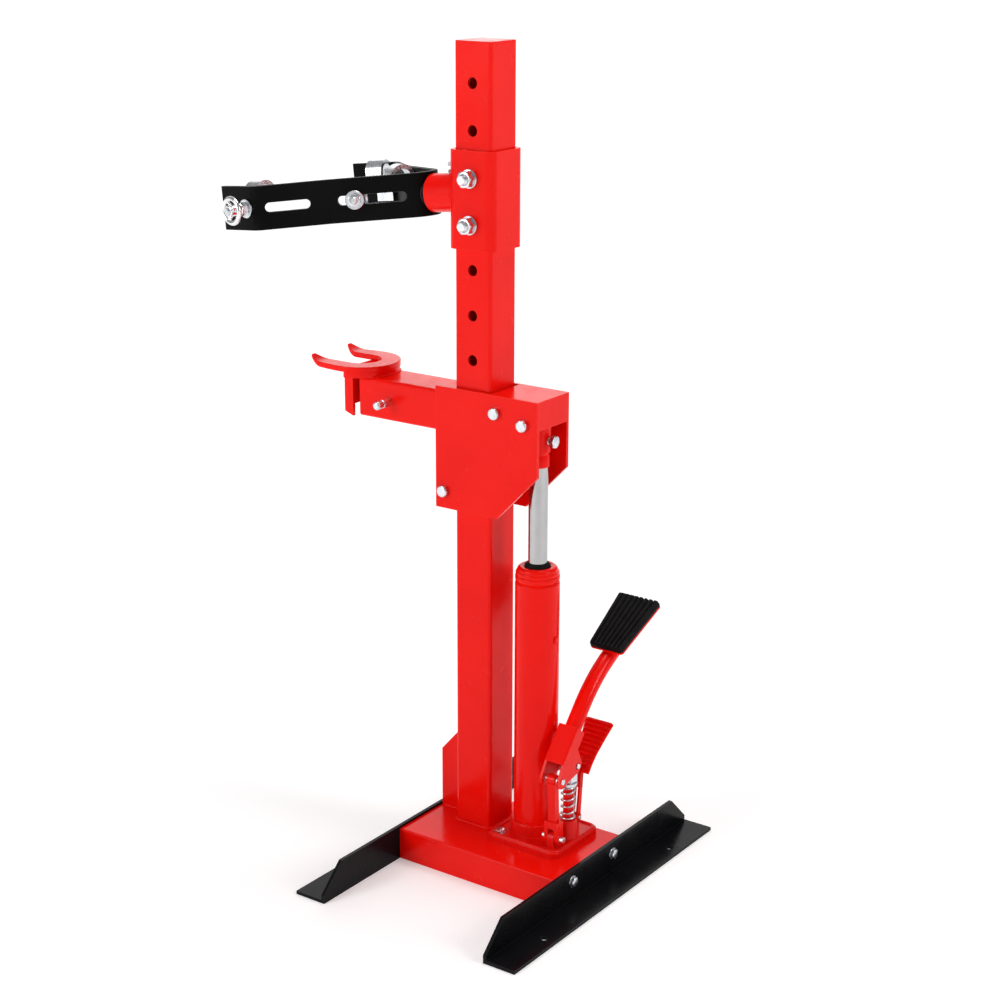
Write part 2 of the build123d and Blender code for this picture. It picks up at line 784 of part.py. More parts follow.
# =================== plunger ===================
with BuildPart() as plunger:
    with BuildSketch(Plane.XY.offset(plunger_bottom)):
        with Locations((plunger_centre_x, pump_y)):
            Circle(plunger_d / 2)
    extrude(amount=plunger_top - plunger_bottom)
finish(plunger, "plunger")

with BuildPart() as plunger_clevis:
    with BuildSketch(Plane.YZ.offset(plunger_centre_x - clevis_width / 2)):
        with Locations((pump_y, (plunger_top + plunger_pin_z) / 2)):
            Rectangle(clevis_depth, plunger_pin_z - plunger_top)
        with Locations((pump_y, plunger_pin_z)):
            Circle(clevis_depth / 2)
            Circle(plunger_pin_d / 2, mode=Mode.SUBTRACT)
    extrude(amount=clevis_width)
    with BuildSketch(Plane.XY.offset(plunger_top)):
        with Locations((plunger_centre_x, pump_y)):
            Circle(spring_mean_d / 2 + spring_seat_rim)
    extrude(amount=spring_seat)
finish(plunger_clevis, "plunger_clevis")

with BuildPart() as plunger_pin_part:
    with BuildSketch(Plane.YZ.offset(plunger_centre_x - link_pin_length / 2)):
        with Locations((pump_y, plunger_pin_z)):
            Circle(plunger_pin_d / 2)
    extrude(amount=link_pin_length)
finish(plunger_pin_part, "plunger_pin")

spring_low = boss_top + spring_wire / 2
spring_high = plunger_top - spring_wire / 2
with BuildPart() as plunger_spring:
    with BuildLine() as spring_line:
        Helix(
            pitch=(spring_high - spring_low) / spring_turns,
            height=spring_high - spring_low,
            radius=spring_mean_d / 2,
            center=(plunger_centre_x, pump_y, spring_low),
        )
    with BuildSketch(Plane(origin=spring_line.line @ 0, z_dir=spring_line.line % 0)):
        Circle(spring_wire / 2)
    sweep(is_frenet=True)
finish(plunger_spring, "plunger_spring")


# =================== release pedal ===================
release_tilt = math.radians(release_plate_angle)
release_along = Vector(0, math.cos(release_tilt), math.sin(release_tilt))
release_normal = Vector(0, -math.sin(release_tilt), math.cos(release_tilt))
release_low = Vector(plunger_centre_x, column_y + release_plate_low_y, release_plate_low_z)
release_plane = Plane(origin=release_low, x_dir=Vector(1, 0, 0), z_dir=release_normal)
release_side = release_lug_width / 2 + link_side_gap

with BuildPart() as release_pedal:
    with BuildSketch(Plane.YZ.offset(plunger_centre_x - release_side - release_arm_thickness)):
        with Locations((column_y + release_pin_y, release_pin_z)):
            Circle(release_pin_d)
        with BuildLine():
            Polyline(
                (column_y + release_pin_y - release_pin_d, release_pin_z),
                (column_y + release_pin_y + release_pin_d, release_pin_z),
                (column_y + release_plate_low_y + release_pin_d, release_plate_low_z + release_pin_d),
                (column_y + release_plate_low_y - release_pin_d / 4, release_plate_low_z),
                close=True,
            )
        make_face()
        with Locations((column_y + release_pin_y, release_pin_z)):
            Circle(release_pin_d / 2 + pivot_play, mode=Mode.SUBTRACT)
    extrude(amount=2 * (release_side + release_arm_thickness))
    with BuildSketch(Plane.YZ.offset(plunger_centre_x - release_side)):
        with Locations((column_y + release_pin_y, release_pin_z)):
            Rectangle(release_pin_d * 5, (release_plate_low_z - release_pin_z) * 1.3)
    extrude(amount=2 * release_side, mode=Mode.SUBTRACT)
    with BuildSketch(release_plane.offset(-release_plate_thickness)):
        with BuildLine():
            Polyline(
                (-release_low_width / 2, -release_foot),
                (release_low_width / 2, -release_foot),
                (release_high_width * release_waist_share, release_waist_along),
                (release_high_width / 2, release_plate_length - release_corner),
                (release_high_width / 2 - release_corner, release_plate_length),
                (release_corner - release_high_width / 2, release_plate_length),
                (-release_high_width / 2, release_plate_length - release_corner),
                (-release_high_width * release_waist_share, release_waist_along),
                close=True,
            )
        make_face()
    extrude(amount=release_plate_thickness)
finish(release_pedal, "release_pedal")


# =================== carriage ===================
def side_plate_outline():
    """Side plate outline in an XZ sketch, with its lower right corner cut away."""
    Polygon(
        (column_x - plate_left, plate_bottom),
        (column_x + plate_right - plate_chamfer_x, plate_bottom),
        (column_x + plate_right, plate_bottom + plate_chamfer_z),
        (column_x + plate_right, plate_top),
        (column_x - plate_left, plate_top),
        align=None,
    )


roller_offset = half_column + roller_gap + roller_radius
upper_axle = (column_x + roller_offset, upper_roller_z)
lower_axle = (column_x - roller_offset, lower_roller_z)
ram_pin_place = (ram_centre_x, ram_pin_z)

for side, plate_name in ((-1, "carriage_plate_front"), (1, "carriage_plate_rear")):
    with BuildPart() as side_plate:
        with BuildSketch(Plane.XZ.offset(-(column_y + side * plate_gap / 2))):
            side_plate_outline()
            with Locations(upper_axle, lower_axle):
                Circle(axle_d / 2, mode=Mode.SUBTRACT)
            with Locations(ram_pin_place):
                Circle(ram_pin_d / 2, mode=Mode.SUBTRACT)
        extrude(amount=-side * plate_thickness)
    finish(side_plate, plate_name)

cap_left = column_x + half_column + cap_gap
cap_right = column_x + plate_right
with BuildPart() as carriage_cap:
    with BuildSketch(Plane.XZ.offset(-column_y)):
        with BuildLine():
            Polyline(
                (cap_left, plate_top),
                (cap_right, plate_top),
                (cap_right, plate_top - cap_drop),
                (cap_right - plate_thickness, plate_top - cap_drop),
                (cap_right - plate_thickness, plate_top - plate_thickness),
                (cap_left, plate_top - plate_thickness),
                close=True,
            )
        make_face()
    extrude(amount=plate_gap / 2, both=True)
finish(carriage_cap, "carriage_cap")

with BuildPart() as carriage_pins:
    near = column_y - outer_gap
    far = column_y + outer_gap
    for (x, z), shaft_d in ((upper_axle, axle_d), (lower_axle, axle_d), (ram_pin_place, ram_pin_d)):
        with BuildSketch(Plane.XZ.offset(-far - axle_tail)):
            with Locations((x, z)):
                Circle(shaft_d / 2)
        extrude(amount=far - near + axle_tail)
        with BuildSketch(Plane.XZ.offset(-near)):
            with Locations((x, z)):
                Circle(axle_head_d / 2)
        extrude(amount=axle_head_height)
finish(carriage_pins, "carriage_pins")

arm_left = column_x - arm_reach
arm_right = column_x - half_column - cap_gap
arm_mid_z = arm_bottom + arm_height / 2
with BuildPart() as lower_arm:
    with BuildSketch(Plane.YZ.offset(arm_left)):
        with Locations((column_y, arm_mid_z)):
            RectangleRounded(plate_gap, arm_height, column_corner)
            RectangleRounded(plate_gap - 2 * arm_wall, arm_height - 2 * arm_wall, 1.0, mode=Mode.SUBTRACT)
    extrude(amount=arm_right - arm_left)
    with BuildSketch(Plane.XZ.offset(-column_y)):
        with Locations((column_x - cross_pin_x, cross_pin_z)):
            Circle(cross_pin_d / 2)
    extrude(amount=plate_gap, both=True, mode=Mode.SUBTRACT)
finish(lower_arm, "lower_arm")

with BuildPart() as cross_pin:
    with BuildSketch(Plane.XZ.offset(-(column_y + plate_gap / 2 + cross_pin_tail))):
        with Locations((column_x - cross_pin_x, cross_pin_z)):
            Circle(cross_pin_d / 2)
    extrude(amount=plate_gap + cross_pin_tail + cross_pin_reach)
    fillet(cross_pin.edges().group_by(Axis.Y)[0], radius=1.5)
finish(cross_pin, "arm_cross_pin")

fork_x = column_x - fork_centre
fork_z = arm_top + fork_hub_thickness
with BuildPart() as fork_bracket:
    with BuildSketch(Plane.XY.offset(arm_top)):
        with Locations((fork_x, column_y)):
            Circle(fork_hub_radius)
            with Locations((-fork_hub_radius + fork_slot_radius * 0.3, 0)):
                Rectangle(2 * fork_hub_radius, 2 * fork_hub_radius, mode=Mode.SUBTRACT)
    extrude(amount=fork_hub_thickness)
    for side in (-1, 1):
        with BuildSketch(Plane.XZ.offset(-(column_y + side * lug_width / 2))):
            with BuildLine():
                Polyline(
                    (arm_left - lug_gap, fork_z),
                    (arm_left - lug_gap - lug_length, fork_z),
                    (arm_left - lug_gap - lug_length, fork_z - lug_depth),
                    (arm_left - lug_gap, fork_z - lug_depth - lug_slant),
                    close=True,
                )
            make_face()
        extrude(amount=side * lug_wall)
    with BuildSketch(Plane.XY.offset(arm_top)):
        with Locations((arm_left - lug_gap - (lug_length - bridge_overlap) / 2, column_y)):
            Rectangle(lug_length + bridge_overlap, lug_width)
    extrude(amount=fork_hub_thickness)
    with BuildSketch(Plane.XY.offset(fork_z)):
        with Locations((arm_left - lug_gap - lug_web / 2, column_y)):
            Rectangle(lug_web, lug_width)
    extrude(amount=-lug_web_depth)
finish(fork_bracket, "fork_bracket")

with BuildPart() as lower_fork:
    with BuildSketch(Plane.XY.offset(fork_z)) as fork_sketch:
        with Locations((fork_x, column_y)):
            Circle(fork_radius)
        with Locations((fork_x - fork_reach / 2, column_y)):
            Rectangle(fork_reach, 2 * fork_radius * fork_prong_share)
        with Locations((fork_x, column_y)):
            Circle(fork_slot_radius, mode=Mode.SUBTRACT)
        with Locations((fork_x - fork_radius, column_y)):
            Rectangle(2 * fork_radius, 2 * fork_slot_radius, mode=Mode.SUBTRACT)
    extrude(amount=fork_thickness)
    tip_start = fork_x - fork_reach
    for side in (-1, 1):
        with BuildSketch(Plane.XZ.offset(-(column_y + side * fork_slot_radius))):
            with BuildLine():
                Polyline(
                    (tip_start, fork_z),
                    (tip_start, fork_z + fork_thickness),
                    (tip_start - fork_tip_run, fork_z + fork_thickness + fork_tip_rise),
                    (tip_start - fork_tip_run - fork_thickness * 0.6, fork_z + fork_tip_rise),
                    close=True,
                )
            make_face()
        extrude(amount=-side * (fork_radius * fork_prong_share - fork_slot_radius))
finish(lower_fork, "lower_fork")

with BuildPart() as ram_rod:
    with BuildSketch(Plane.XY.offset(rod_bottom)):
        with Locations((ram_centre_x, pump_y)):
            Circle(rod_d / 2)
    extrude(amount=ram_head_bottom + rod_socket - rod_bottom)
finish(ram_rod, "ram_rod")

with BuildPart() as ram_piston:
    with BuildSketch(Plane.XY.offset(rod_bottom - piston_height)):
        with Locations((ram_centre_x, pump_y)):
            Circle(inner_bore / 2 - piston_play)
    extrude(amount=piston_height)
finish(ram_piston, "ram_piston")

with BuildPart() as ram_head:
    with BuildSketch(Plane.XY.offset(ram_neck_bottom)):
        with Locations((ram_centre_x, pump_y)):
            Circle(ram_neck_d / 2)
    extrude(amount=ram_head_bottom - ram_neck_bottom)
    with BuildSketch(Plane.XY.offset(ram_head_bottom)):
        with Locations((ram_centre_x, pump_y)):
            Circle(ram_head_d / 2)
    extrude(amount=ram_head_top - ram_head_bottom)
    fillet(ram_head.edges().group_by(Axis.Z)[-1], radius=2.0)
    with BuildSketch(Plane.XY.offset(ram_neck_bottom)):
        with Locations((ram_centre_x, pump_y)):
            Circle(rod_d / 2)
    extrude(amount=ram_head_bottom + rod_socket - ram_neck_bottom, mode=Mode.SUBTRACT)
    with BuildSketch(Plane.XZ.offset(-column_y)):
        with Locations(ram_pin_place):
            Circle(ram_pin_d / 2)
    extrude(amount=ram_head_d, both=True, mode=Mode.SUBTRACT)
    with BuildSketch(Plane.YZ.offset(ram_centre_x)):
        with Locations((pump_y, clamp_bolt_z)):
            Circle(clamp_bolt_d / 2)
    extrude(amount=ram_head_d, mode=Mode.SUBTRACT)
finish(ram_head, "ram_head")

with BuildPart() as ram_clamp_bolt:
    with BuildSketch(Plane.YZ.offset(ram_centre_x + clamp_bolt_start)):
        with Locations((pump_y, clamp_bolt_z)):
            Circle(clamp_bolt_d / 2)
    extrude(amount=ram_head_d / 2 - clamp_bolt_start + clamp_bolt_reach)
    with BuildSketch(Plane.YZ.offset(ram_centre_x + ram_head_d / 2 + clamp_bolt_reach)):
        with Locations((pump_y, clamp_bolt_z)):
            RegularPolygon(nut_across_flats / 2, 6, major_radius=False)
    extrude(amount=clamp_head_height)
finish(ram_clamp_bolt, "ram_clamp_bolt")

for (x, z), roller_name in ((upper_axle, "roller_upper"), (lower_axle, "roller_lower")):
    with BuildPart() as roller:
        with BuildSketch(Plane.XZ.offset(-column_y)):
            with Locations((x, z)):
                Circle(roller_radius)
                Circle(axle_d / 2 + pivot_play, mode=Mode.SUBTRACT)
        extrude(amount=plate_gap / 2 - roller_side_gap, both=True)
        chamfer(roller.edges().filter_by(GeomType.CIRCLE).sort_by(SortBy.RADIUS)[-2:], length=roller_chamfer)
    finish(roller, roller_name)


# =================== upper jaw ===================


def jaw_point(place, side):
    """A point of the yoke's centre line: distance out from the apex, and sideways."""
    return (yoke_apex + place[0], side * place[1])


with BuildPart() as jaw_yoke:
    with BuildSketch(jaw_plane.offset(-yoke_height / 2)):
        with BuildLine() as yoke_line:
            FilletPolyline(
                jaw_point(yoke_tip, 1),
                jaw_point(yoke_second_bend, 1),
                jaw_point(yoke_first_bend, 1),
                (yoke_apex + yoke_corner, 0),
                jaw_point(yoke_first_bend, -1),
                jaw_point(yoke_second_bend, -1),
                jaw_point(yoke_tip, -1),
                radius=[yoke_bend_radius, yoke_bend_radius, yoke_apex_radius,
                        yoke_bend_radius, yoke_bend_radius],
            )
            offset(amount=yoke_thickness / 2, side=Side.BOTH)
        make_face()
    extrude(amount=yoke_height)


def segment_plane(start, end, side, distance):
    """Plane on the yoke's middle line: Y up, Z outwards, its origin this far along."""
    low = Vector(*jaw_point(start, side))
    high = Vector(*jaw_point(end, side))
    run = (high - low).normalized()
    middle = low + run * distance
    world_run = outward * run.X + jaw_plane.y_dir * run.Y
    world_middle = stub_root + outward * middle.X + jaw_plane.y_dir * middle.Y
    x_dir = world_run * -side
    return Plane(origin=world_middle, x_dir=x_dir, z_dir=x_dir.cross(upward))


apex_point = (yoke_corner, 0.0)
slots = (
    (apex_point, yoke_first_bend, first_slot),
    (yoke_first_bend, yoke_second_bend, second_slot),
    (yoke_second_bend, yoke_tip, third_slot),
)
with jaw_yoke:
    for side in (-1, 1):
        for start, end, (slot_low, slot_high) in slots:
            with BuildSketch(segment_plane(start, end, side, (slot_low + slot_high) / 2)):
                SlotOverall(slot_high - slot_low, yoke_slot_width)
            extrude(amount=yoke_thickness * 1.5, both=True, mode=Mode.SUBTRACT)
finish(jaw_yoke, "jaw_yoke")

with BuildPart() as jaw_shaft:
    with BuildSketch(axis_plane(shaft_start)):
        Circle(stub_bore / 2 - pivot_play)
    extrude(amount=yoke_apex + shaft_overlap - shaft_start)
    with BuildSketch(axis_plane(lock_screw_at - lock_screw_d / 2 - running_gap)):
        Circle(stub_bore / 2)
        Circle(groove_radius, mode=Mode.SUBTRACT)
    extrude(amount=lock_screw_d + 2 * running_gap, mode=Mode.SUBTRACT)
    add(jaw_yoke.part, mode=Mode.SUBTRACT)
finish(jaw_shaft, "jaw_shaft")

inner_face = yoke_thickness / 2 + hook_gap


def build_hook(place, saddle_z, plate_high, name):
    """Hook with a flat plate on the yoke's inner face and a saddle that arches inwards."""
    across_plane = Plane(origin=place.origin, x_dir=place.z_dir * -1, z_dir=place.x_dir)
    saddle_x = inner_face + hook_plate + hook_saddle_radius
    with BuildPart() as hook:
        with BuildSketch(across_plane):
            with Locations((inner_face + hook_plate / 2, (plate_high - hook_plate_low) / 2)):
                Rectangle(hook_plate, plate_high + hook_plate_low)
            with Locations((saddle_x, saddle_z)):
                Circle(hook_saddle_radius + hook_plate)
                Circle(hook_saddle_radius, mode=Mode.SUBTRACT)
            with Locations((saddle_x, saddle_z - hook_saddle_radius - hook_plate)):
                Rectangle(2 * (hook_saddle_radius + hook_plate), 2 * (hook_saddle_radius + hook_plate),
                          mode=Mode.SUBTRACT)
            with Locations((inner_face + hook_plate / 2, (saddle_z - hook_plate_low) / 2)):
                Rectangle(hook_plate, saddle_z + hook_plate_low)
            with Locations((saddle_x + hook_saddle_radius + hook_plate / 2, saddle_z - hook_lip / 2)):
                Rectangle(hook_plate, hook_lip)
        extrude(amount=hook_width / 2, both=True)
        with BuildSketch(place):
            Circle(hook_bolt_d / 2)
        extrude(amount=-inner_face - hook_plate, mode=Mode.SUBTRACT)
    finish(hook, name)


def build_hook_bolt(place, reach, name):
    """Stud through the hook and slot, with a washer and nut outside the yoke."""
    with BuildPart() as bolt:
        with BuildSketch(place.offset(-inner_face - hook_plate)):
            Circle(hook_bolt_d / 2)
        extrude(amount=inner_face + hook_plate + inner_face + washer_thickness + reach)
        with BuildSketch(place.offset(inner_face)):
            Circle(washer_d / 2)
        extrude(amount=washer_thickness)
        with BuildSketch(place.offset(inner_face + washer_thickness)):
            RegularPolygon(nut_across_flats / 2, 6, major_radius=False)
        extrude(amount=nut_height)
    finish(bolt, name)


def build_wheel_nut(place, name):
    """Ring hand wheel on a round hub, turning on a hook's long stud."""
    hub_start = inner_face + washer_thickness + nut_height + wheel_standoff
    with BuildPart() as wheel:
        with BuildSketch(place.offset(hub_start)):
            Circle(wheel_hub_d / 2)
        extrude(amount=wheel_hub_length)
        ring_plane = place.offset(hub_start + wheel_hub_length - wheel_wire_d)
        with BuildSketch(Plane(origin=ring_plane.origin, x_dir=ring_plane.x_dir, z_dir=ring_plane.y_dir)):
            with Locations((wheel_ring_d / 2 - wheel_wire_d / 2, 0)):
                Circle(wheel_wire_d / 2)
        revolve(axis=Axis(ring_plane.origin, ring_plane.z_dir))
        for spoke in range(wheel_spokes):
            turn = math.radians(360 / wheel_spokes * spoke + 90)
            spoke_dir = ring_plane.x_dir * math.cos(turn) + ring_plane.y_dir * math.sin(turn)
            with BuildSketch(Plane(origin=ring_plane.origin, x_dir=ring_plane.z_dir, z_dir=spoke_dir)):
                Circle(wheel_wire_d * 0.4)
            extrude(amount=wheel_ring_d / 2 - wheel_wire_d / 2)
        with BuildSketch(place.offset(hub_start)):
            Circle(hook_bolt_d / 2 + pivot_play)
        extrude(amount=wheel_hub_length, mode=Mode.SUBTRACT)
    finish(wheel, name)


stud_reach = nut_height + wheel_standoff + wheel_hub_length
for side, side_name in ((1, "front"), (-1, "rear")):
    inner_place = segment_plane(apex_point, yoke_first_bend, side, first_hook_at)
    outer_place = segment_plane(yoke_second_bend, yoke_tip, side, third_hook_at)
    saddle_z = hook_saddle_low if side_name == "front" else hook_saddle_high
    build_hook(inner_place, saddle_z, hook_plate_top, "hook_inner_" + side_name)
    build_hook_bolt(inner_place, nut_height + bolt_tail, "hook_bolt_inner_" + side_name)
    build_hook(outer_place, hook_saddle_high, hook_saddle_high, "hook_outer_" + side_name)
    build_hook_bolt(outer_place, stud_reach + bolt_tail, "hook_stud_outer_" + side_name)
    build_wheel_nut(outer_place, "wheel_nut_" + side_name)

print(len(finished), "nodes")
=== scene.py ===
import bmesh
import bpy
import json
import math
from mathutils import Matrix, Vector, noise


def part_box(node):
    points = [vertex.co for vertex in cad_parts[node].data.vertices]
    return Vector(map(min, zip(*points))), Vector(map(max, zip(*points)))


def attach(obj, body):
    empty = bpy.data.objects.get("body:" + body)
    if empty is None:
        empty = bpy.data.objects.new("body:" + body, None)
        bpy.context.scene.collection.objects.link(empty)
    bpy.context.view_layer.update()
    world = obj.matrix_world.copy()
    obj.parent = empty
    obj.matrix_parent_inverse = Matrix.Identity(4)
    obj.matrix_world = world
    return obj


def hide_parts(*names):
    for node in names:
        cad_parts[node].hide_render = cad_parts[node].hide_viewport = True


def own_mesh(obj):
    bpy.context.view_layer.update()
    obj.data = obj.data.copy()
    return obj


# Coil spring compressor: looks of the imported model. Metres, in the model's own frame.
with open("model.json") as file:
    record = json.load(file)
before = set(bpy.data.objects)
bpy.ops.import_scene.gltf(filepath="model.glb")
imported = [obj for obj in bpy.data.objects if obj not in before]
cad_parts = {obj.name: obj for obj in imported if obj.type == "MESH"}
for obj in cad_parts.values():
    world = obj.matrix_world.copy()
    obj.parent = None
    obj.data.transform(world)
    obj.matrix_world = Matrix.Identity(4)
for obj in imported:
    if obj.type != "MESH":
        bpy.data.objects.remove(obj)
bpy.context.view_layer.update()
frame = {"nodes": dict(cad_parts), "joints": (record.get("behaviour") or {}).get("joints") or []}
nodes = frame["nodes"]
joints = {joint["name"]: joint for joint in frame["joints"]}
mm = 0.001
X = Vector((1, 0, 0))
Y = Vector((0, 1, 0))
Z = Vector((0, 0, 1))
TURN = 2 * math.pi

# ---- sizes that the frame doesn't state ----
foot_bolt_spacing = 104 * mm
foot_bolt_height = 33.5 * mm
foot_bolt_across = 13 * mm
foot_bolt_head = 5.5 * mm
foot_bolt_radius = 4.03 * mm
foot_bolt_length = 20 * mm
foot_bolt_pitch = 1.25 * mm
foot_nut_height = 6.5 * mm
foot_washer_radius = 8.58 * mm
thin_washer = 1.4 * mm

sleeve_bolt_radius = 7 * mm
sleeve_bolt_across = 21 * mm
sleeve_bolt_head = 9 * mm
sleeve_bolt_pitch = 1.75 * mm
sleeve_nut_height = 11 * mm
washer_radius = 13 * mm
washer_thickness = 2.5 * mm

hook_bolt_radius = 5 * mm
hook_bolt_pitch = 1.5 * mm
hook_nut_across = 16 * mm
hook_nut_height = 8 * mm
hook_washer_seat = 14.6 * mm
wheel_rim_reach = 16.7 * mm
wheel_rim_radius = 3.3 * mm
wheel_rim_drop = 6.5 * mm
wheel_spoke_radius = 2.5 * mm

clamp_radius = 5 * mm
clamp_pitch = 1.5 * mm
lock_head_height = 6 * mm
lock_nut_height = 5.6 * mm
clamp_head_height = 6.5 * mm

pump_screw_across = 13 * mm
pump_screw_radius = 4 * mm
pump_screw_head = 5 * mm
pump_washer_radius = 9 * mm
# From the column's axis, along X and Y.
pump_screw_places = ((58 * mm, -44 * mm), (58 * mm, 44 * mm), (108 * mm, 47 * mm))
pump_plate_height = 10 * mm
link_pin = (4.5 * mm, 36 * mm)      # radius and length
release_pin = (3 * mm, 18 * mm)
pin_dome = 1.2 * mm

reservoir_wall = 3 * mm
ram_pin_height = 667 * mm
axle_radius = 7 * mm
axle_head_radius = 8.5 * mm
cross_pin_radius = 6 * mm

fork_slot_half = 27 * mm
fork_plate = 8 * mm
fork_tip_run = 24 * mm
fork_hub_radius = 54 * mm
fork_hub_from_end = 55 * mm

tread_angle = math.radians(28)
pad_low_width = 55 * mm
pad_high_width = 71 * mm
pad_ribs = 8
release_angle = math.radians(47.5)
release_foot = (8.5 * mm, 75 * mm)  # from the pin, along Y and up
release_low_half = 15 * mm
release_flare = 9 * mm
release_rib_pitch = 7.4 * mm
spring_wire = 1.4 * mm
spring_turns = 6.4


# =================== mesh helpers ===================
class Shape:
    """Collects closed shells, then makes one mesh object of them."""

    def __init__(self):
        self.points = []
        self.faces = []

    def stack(self, rows, looped=False):
        """Joins rows of points, each row a closed loop with as many points as the last."""
        base = len(self.points)
        count = len(rows[0])
        for row in rows:
            self.points.extend(row)
        pairs = len(rows) if looped else len(rows) - 1
        for i in range(pairs):
            low = base + i * count
            high = base + (i + 1) % len(rows) * count
            for j in range(count):
                k = (j + 1) % count
                self.faces.append((low + j, low + k, high + k, high + j))
        if not looped:
            self.faces.append(tuple(base + j for j in reversed(range(count))))
            self.faces.append(tuple(base + (len(rows) - 1) * count + j for j in range(count)))

    def turned(self, place, profile, steps=48, looped=False):
        """Surface round the place's Z, from a profile of (radius, height).

        A radius may be a function of the turn.
        """
        rows = []
        for radius, height in profile:
            row = []
            for step in range(steps):
                turn = TURN * step / steps
                r = radius(turn) if callable(radius) else radius
                row.append(place @ Vector((r * math.cos(turn), r * math.sin(turn), height)))
            rows.append(row)
        self.stack(rows, looped=looped)

    def prism(self, place, outline, depth):
        """Outline in the place's XY, pushed along its Z."""
        self.stack([[place @ Vector((x, y, z)) for x, y in outline] for z in (0, depth)])

    def tube(self, path, radius, steps=12, closed=False):
        """Round tube along the path, where radius may be a function of the point's number."""
        rows = []
        side = None
        last = len(path) - 1
        for i, point in enumerate(path):
            if closed:
                along = (path[(i + 1) % len(path)] - path[i - 1]).normalized()
            else:
                along = (path[min(i + 1, last)] - path[max(i - 1, 0)]).normalized()
            if side is None:
                side = along.orthogonal().normalized()
            side = (side - along * side.dot(along)).normalized()
            other = along.cross(side)
            r = radius(i) if callable(radius) else radius
            turns = [TURN * j / steps for j in range(steps)]
            rows.append([point + (side * math.cos(t) + other * math.sin(t)) * r for t in turns])
        self.stack(rows, looped=closed)

    def done(self, name, material, body, stands_for=(), bevel=0.0, smooth=35, segments=3):
        """Makes the object, with its material, its body and, where asked, rounded edges."""
        mesh = bpy.data.meshes.new(name)
        mesh.from_pydata([tuple(point) for point in self.points], [], self.faces)
        mesh.validate()
        shells = bmesh.new()
        shells.from_mesh(mesh)
        bmesh.ops.recalc_face_normals(shells, faces=shells.faces)
        shells.to_mesh(mesh)
        shells.free()
        piece = bpy.data.objects.new(name, mesh)
        bpy.context.scene.collection.objects.link(piece)
        mesh.materials.append(material)
        tidy_shading(piece, smooth)
        if bevel:
            round_edges(piece, bevel, segments)
        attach(piece, body)
        if stands_for:
            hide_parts(*stands_for)
        return piece


def tidy_shading(piece, angle):
    """Smooth shading with edges sharper than the angle, in degrees, kept crisp."""
    piece.data.shade_smooth()
    piece.data.set_sharp_from_angle(angle=math.radians(angle))


def round_edges(piece, width, segments=3):
    """Small rounding on every edge sharper than 40 degrees."""
    bevel = piece.modifiers.new("rounding", "BEVEL")
    bevel.width = width
    bevel.segments = segments
    bevel.limit_method = "ANGLE"
    bevel.angle_limit = math.radians(40)
    bevel.harden_normals = True


def span(node, axis):
    """Lowest and highest reach of a CAD node along an axis."""
    reaches = [vertex.co.dot(axis) for vertex in nodes[node].data.vertices]
    return min(reaches), max(reaches)


def middle(node, axis):
    """Middle of a CAD node along an axis."""
    low, high = span(node, axis)
    return (low + high) / 2


def half_width(node, axis):
    """Half of a CAD node's reach along an axis: the radius of a round one."""
    low, high = span(node, axis)
    return (high - low) / 2


def centre_of(node):
    """Middle of a CAD node's box."""
    return Vector((middle(node, X), middle(node, Y), middle(node, Z)))


def placed(origin, axis, x_dir=None):
    """Matrix whose Z is the axis and whose X is as near x_dir as it can be."""
    z = axis.normalized()
    x = z.orthogonal() if x_dir is None else x_dir - z * x_dir.dot(z)
    x.normalize()
    y = z.cross(x)
    turn = Matrix((x, y, z)).transposed().to_4x4()
    turn.translation = origin
    return turn


def arc(centre, radius, start, end, steps):
    """Points of an arc in a plane, with its angles in degrees."""
    angles = [math.radians(start + (end - start) * i / steps) for i in range(steps + 1)]
    return [(centre[0] + radius * math.cos(a), centre[1] + radius * math.sin(a)) for a in angles]


def offsets(radius, height, *pairs):
    """Profile points near a radius and a height, from pairs of offsets in millimetres."""
    return [(radius + r * mm, height + h * mm) for r, h in pairs]


def hexagon(across, limit):
    """Radius of a hexagon by turn, cut by a circle of radius limit."""
    sixth = TURN / 6
    return lambda turn: min(across / 2 / math.cos(turn % sixth - sixth / 2), limit)


def hex_rows(across, start, height, chamfer_low=True, chamfer_high=True):
    """Rows of a hexagon head or nut whose corners are turned off at 30 degrees."""
    flat = across / 2
    slope = math.radians(30)
    corner = flat / math.cos(slope)
    face_share = 0.96
    face = flat * face_share
    drop = (corner - face) * math.tan(slope)
    levels = 4
    shares = [i / levels for i in range(levels)]
    rows = []
    if chamfer_low:
        rows += [(hexagon(across, face + (corner - face) * share), start + drop * share)
                 for share in shares]
    rows.append((hexagon(across, corner), start + (drop if chamfer_low else 0)))
    rows.append((hexagon(across, corner), start + height - (drop if chamfer_high else 0)))
    if chamfer_high:
        rows += [(hexagon(across, face + (corner - face) * share), start + height - drop * share)
                 for share in reversed(shares)]
    return rows


def add_head(shape, place, across, height):
    """Hexagon head standing on the place, with its outer corners turned off."""
    shape.turned(place, hex_rows(across, 0, height, chamfer_low=False), steps=72)


def add_nut(shape, place, across, height, bore):
    """Hexagon nut with a countersunk bore, standing on the place."""
    sink_share = 0.12
    sink = bore * sink_share
    inside = [(bore + sink, height), (bore, height - sink), (bore, sink), (bore + sink, 0)]
    shape.turned(place, hex_rows(across, 0, height) + inside, steps=72, looped=True)


def add_washer(shape, place, radius, bore, thickness):
    """Flat washer with softened rims, standing on the place."""
    soft_share = 0.22
    soft = thickness * soft_share
    profile = [(bore, soft), (bore + soft, 0), (radius - soft, 0), (radius, soft),
               (radius, thickness - soft), (radius - soft, thickness), (bore + soft, thickness),
               (bore, thickness - soft)]
    shape.turned(place, profile, steps=64, looped=True)


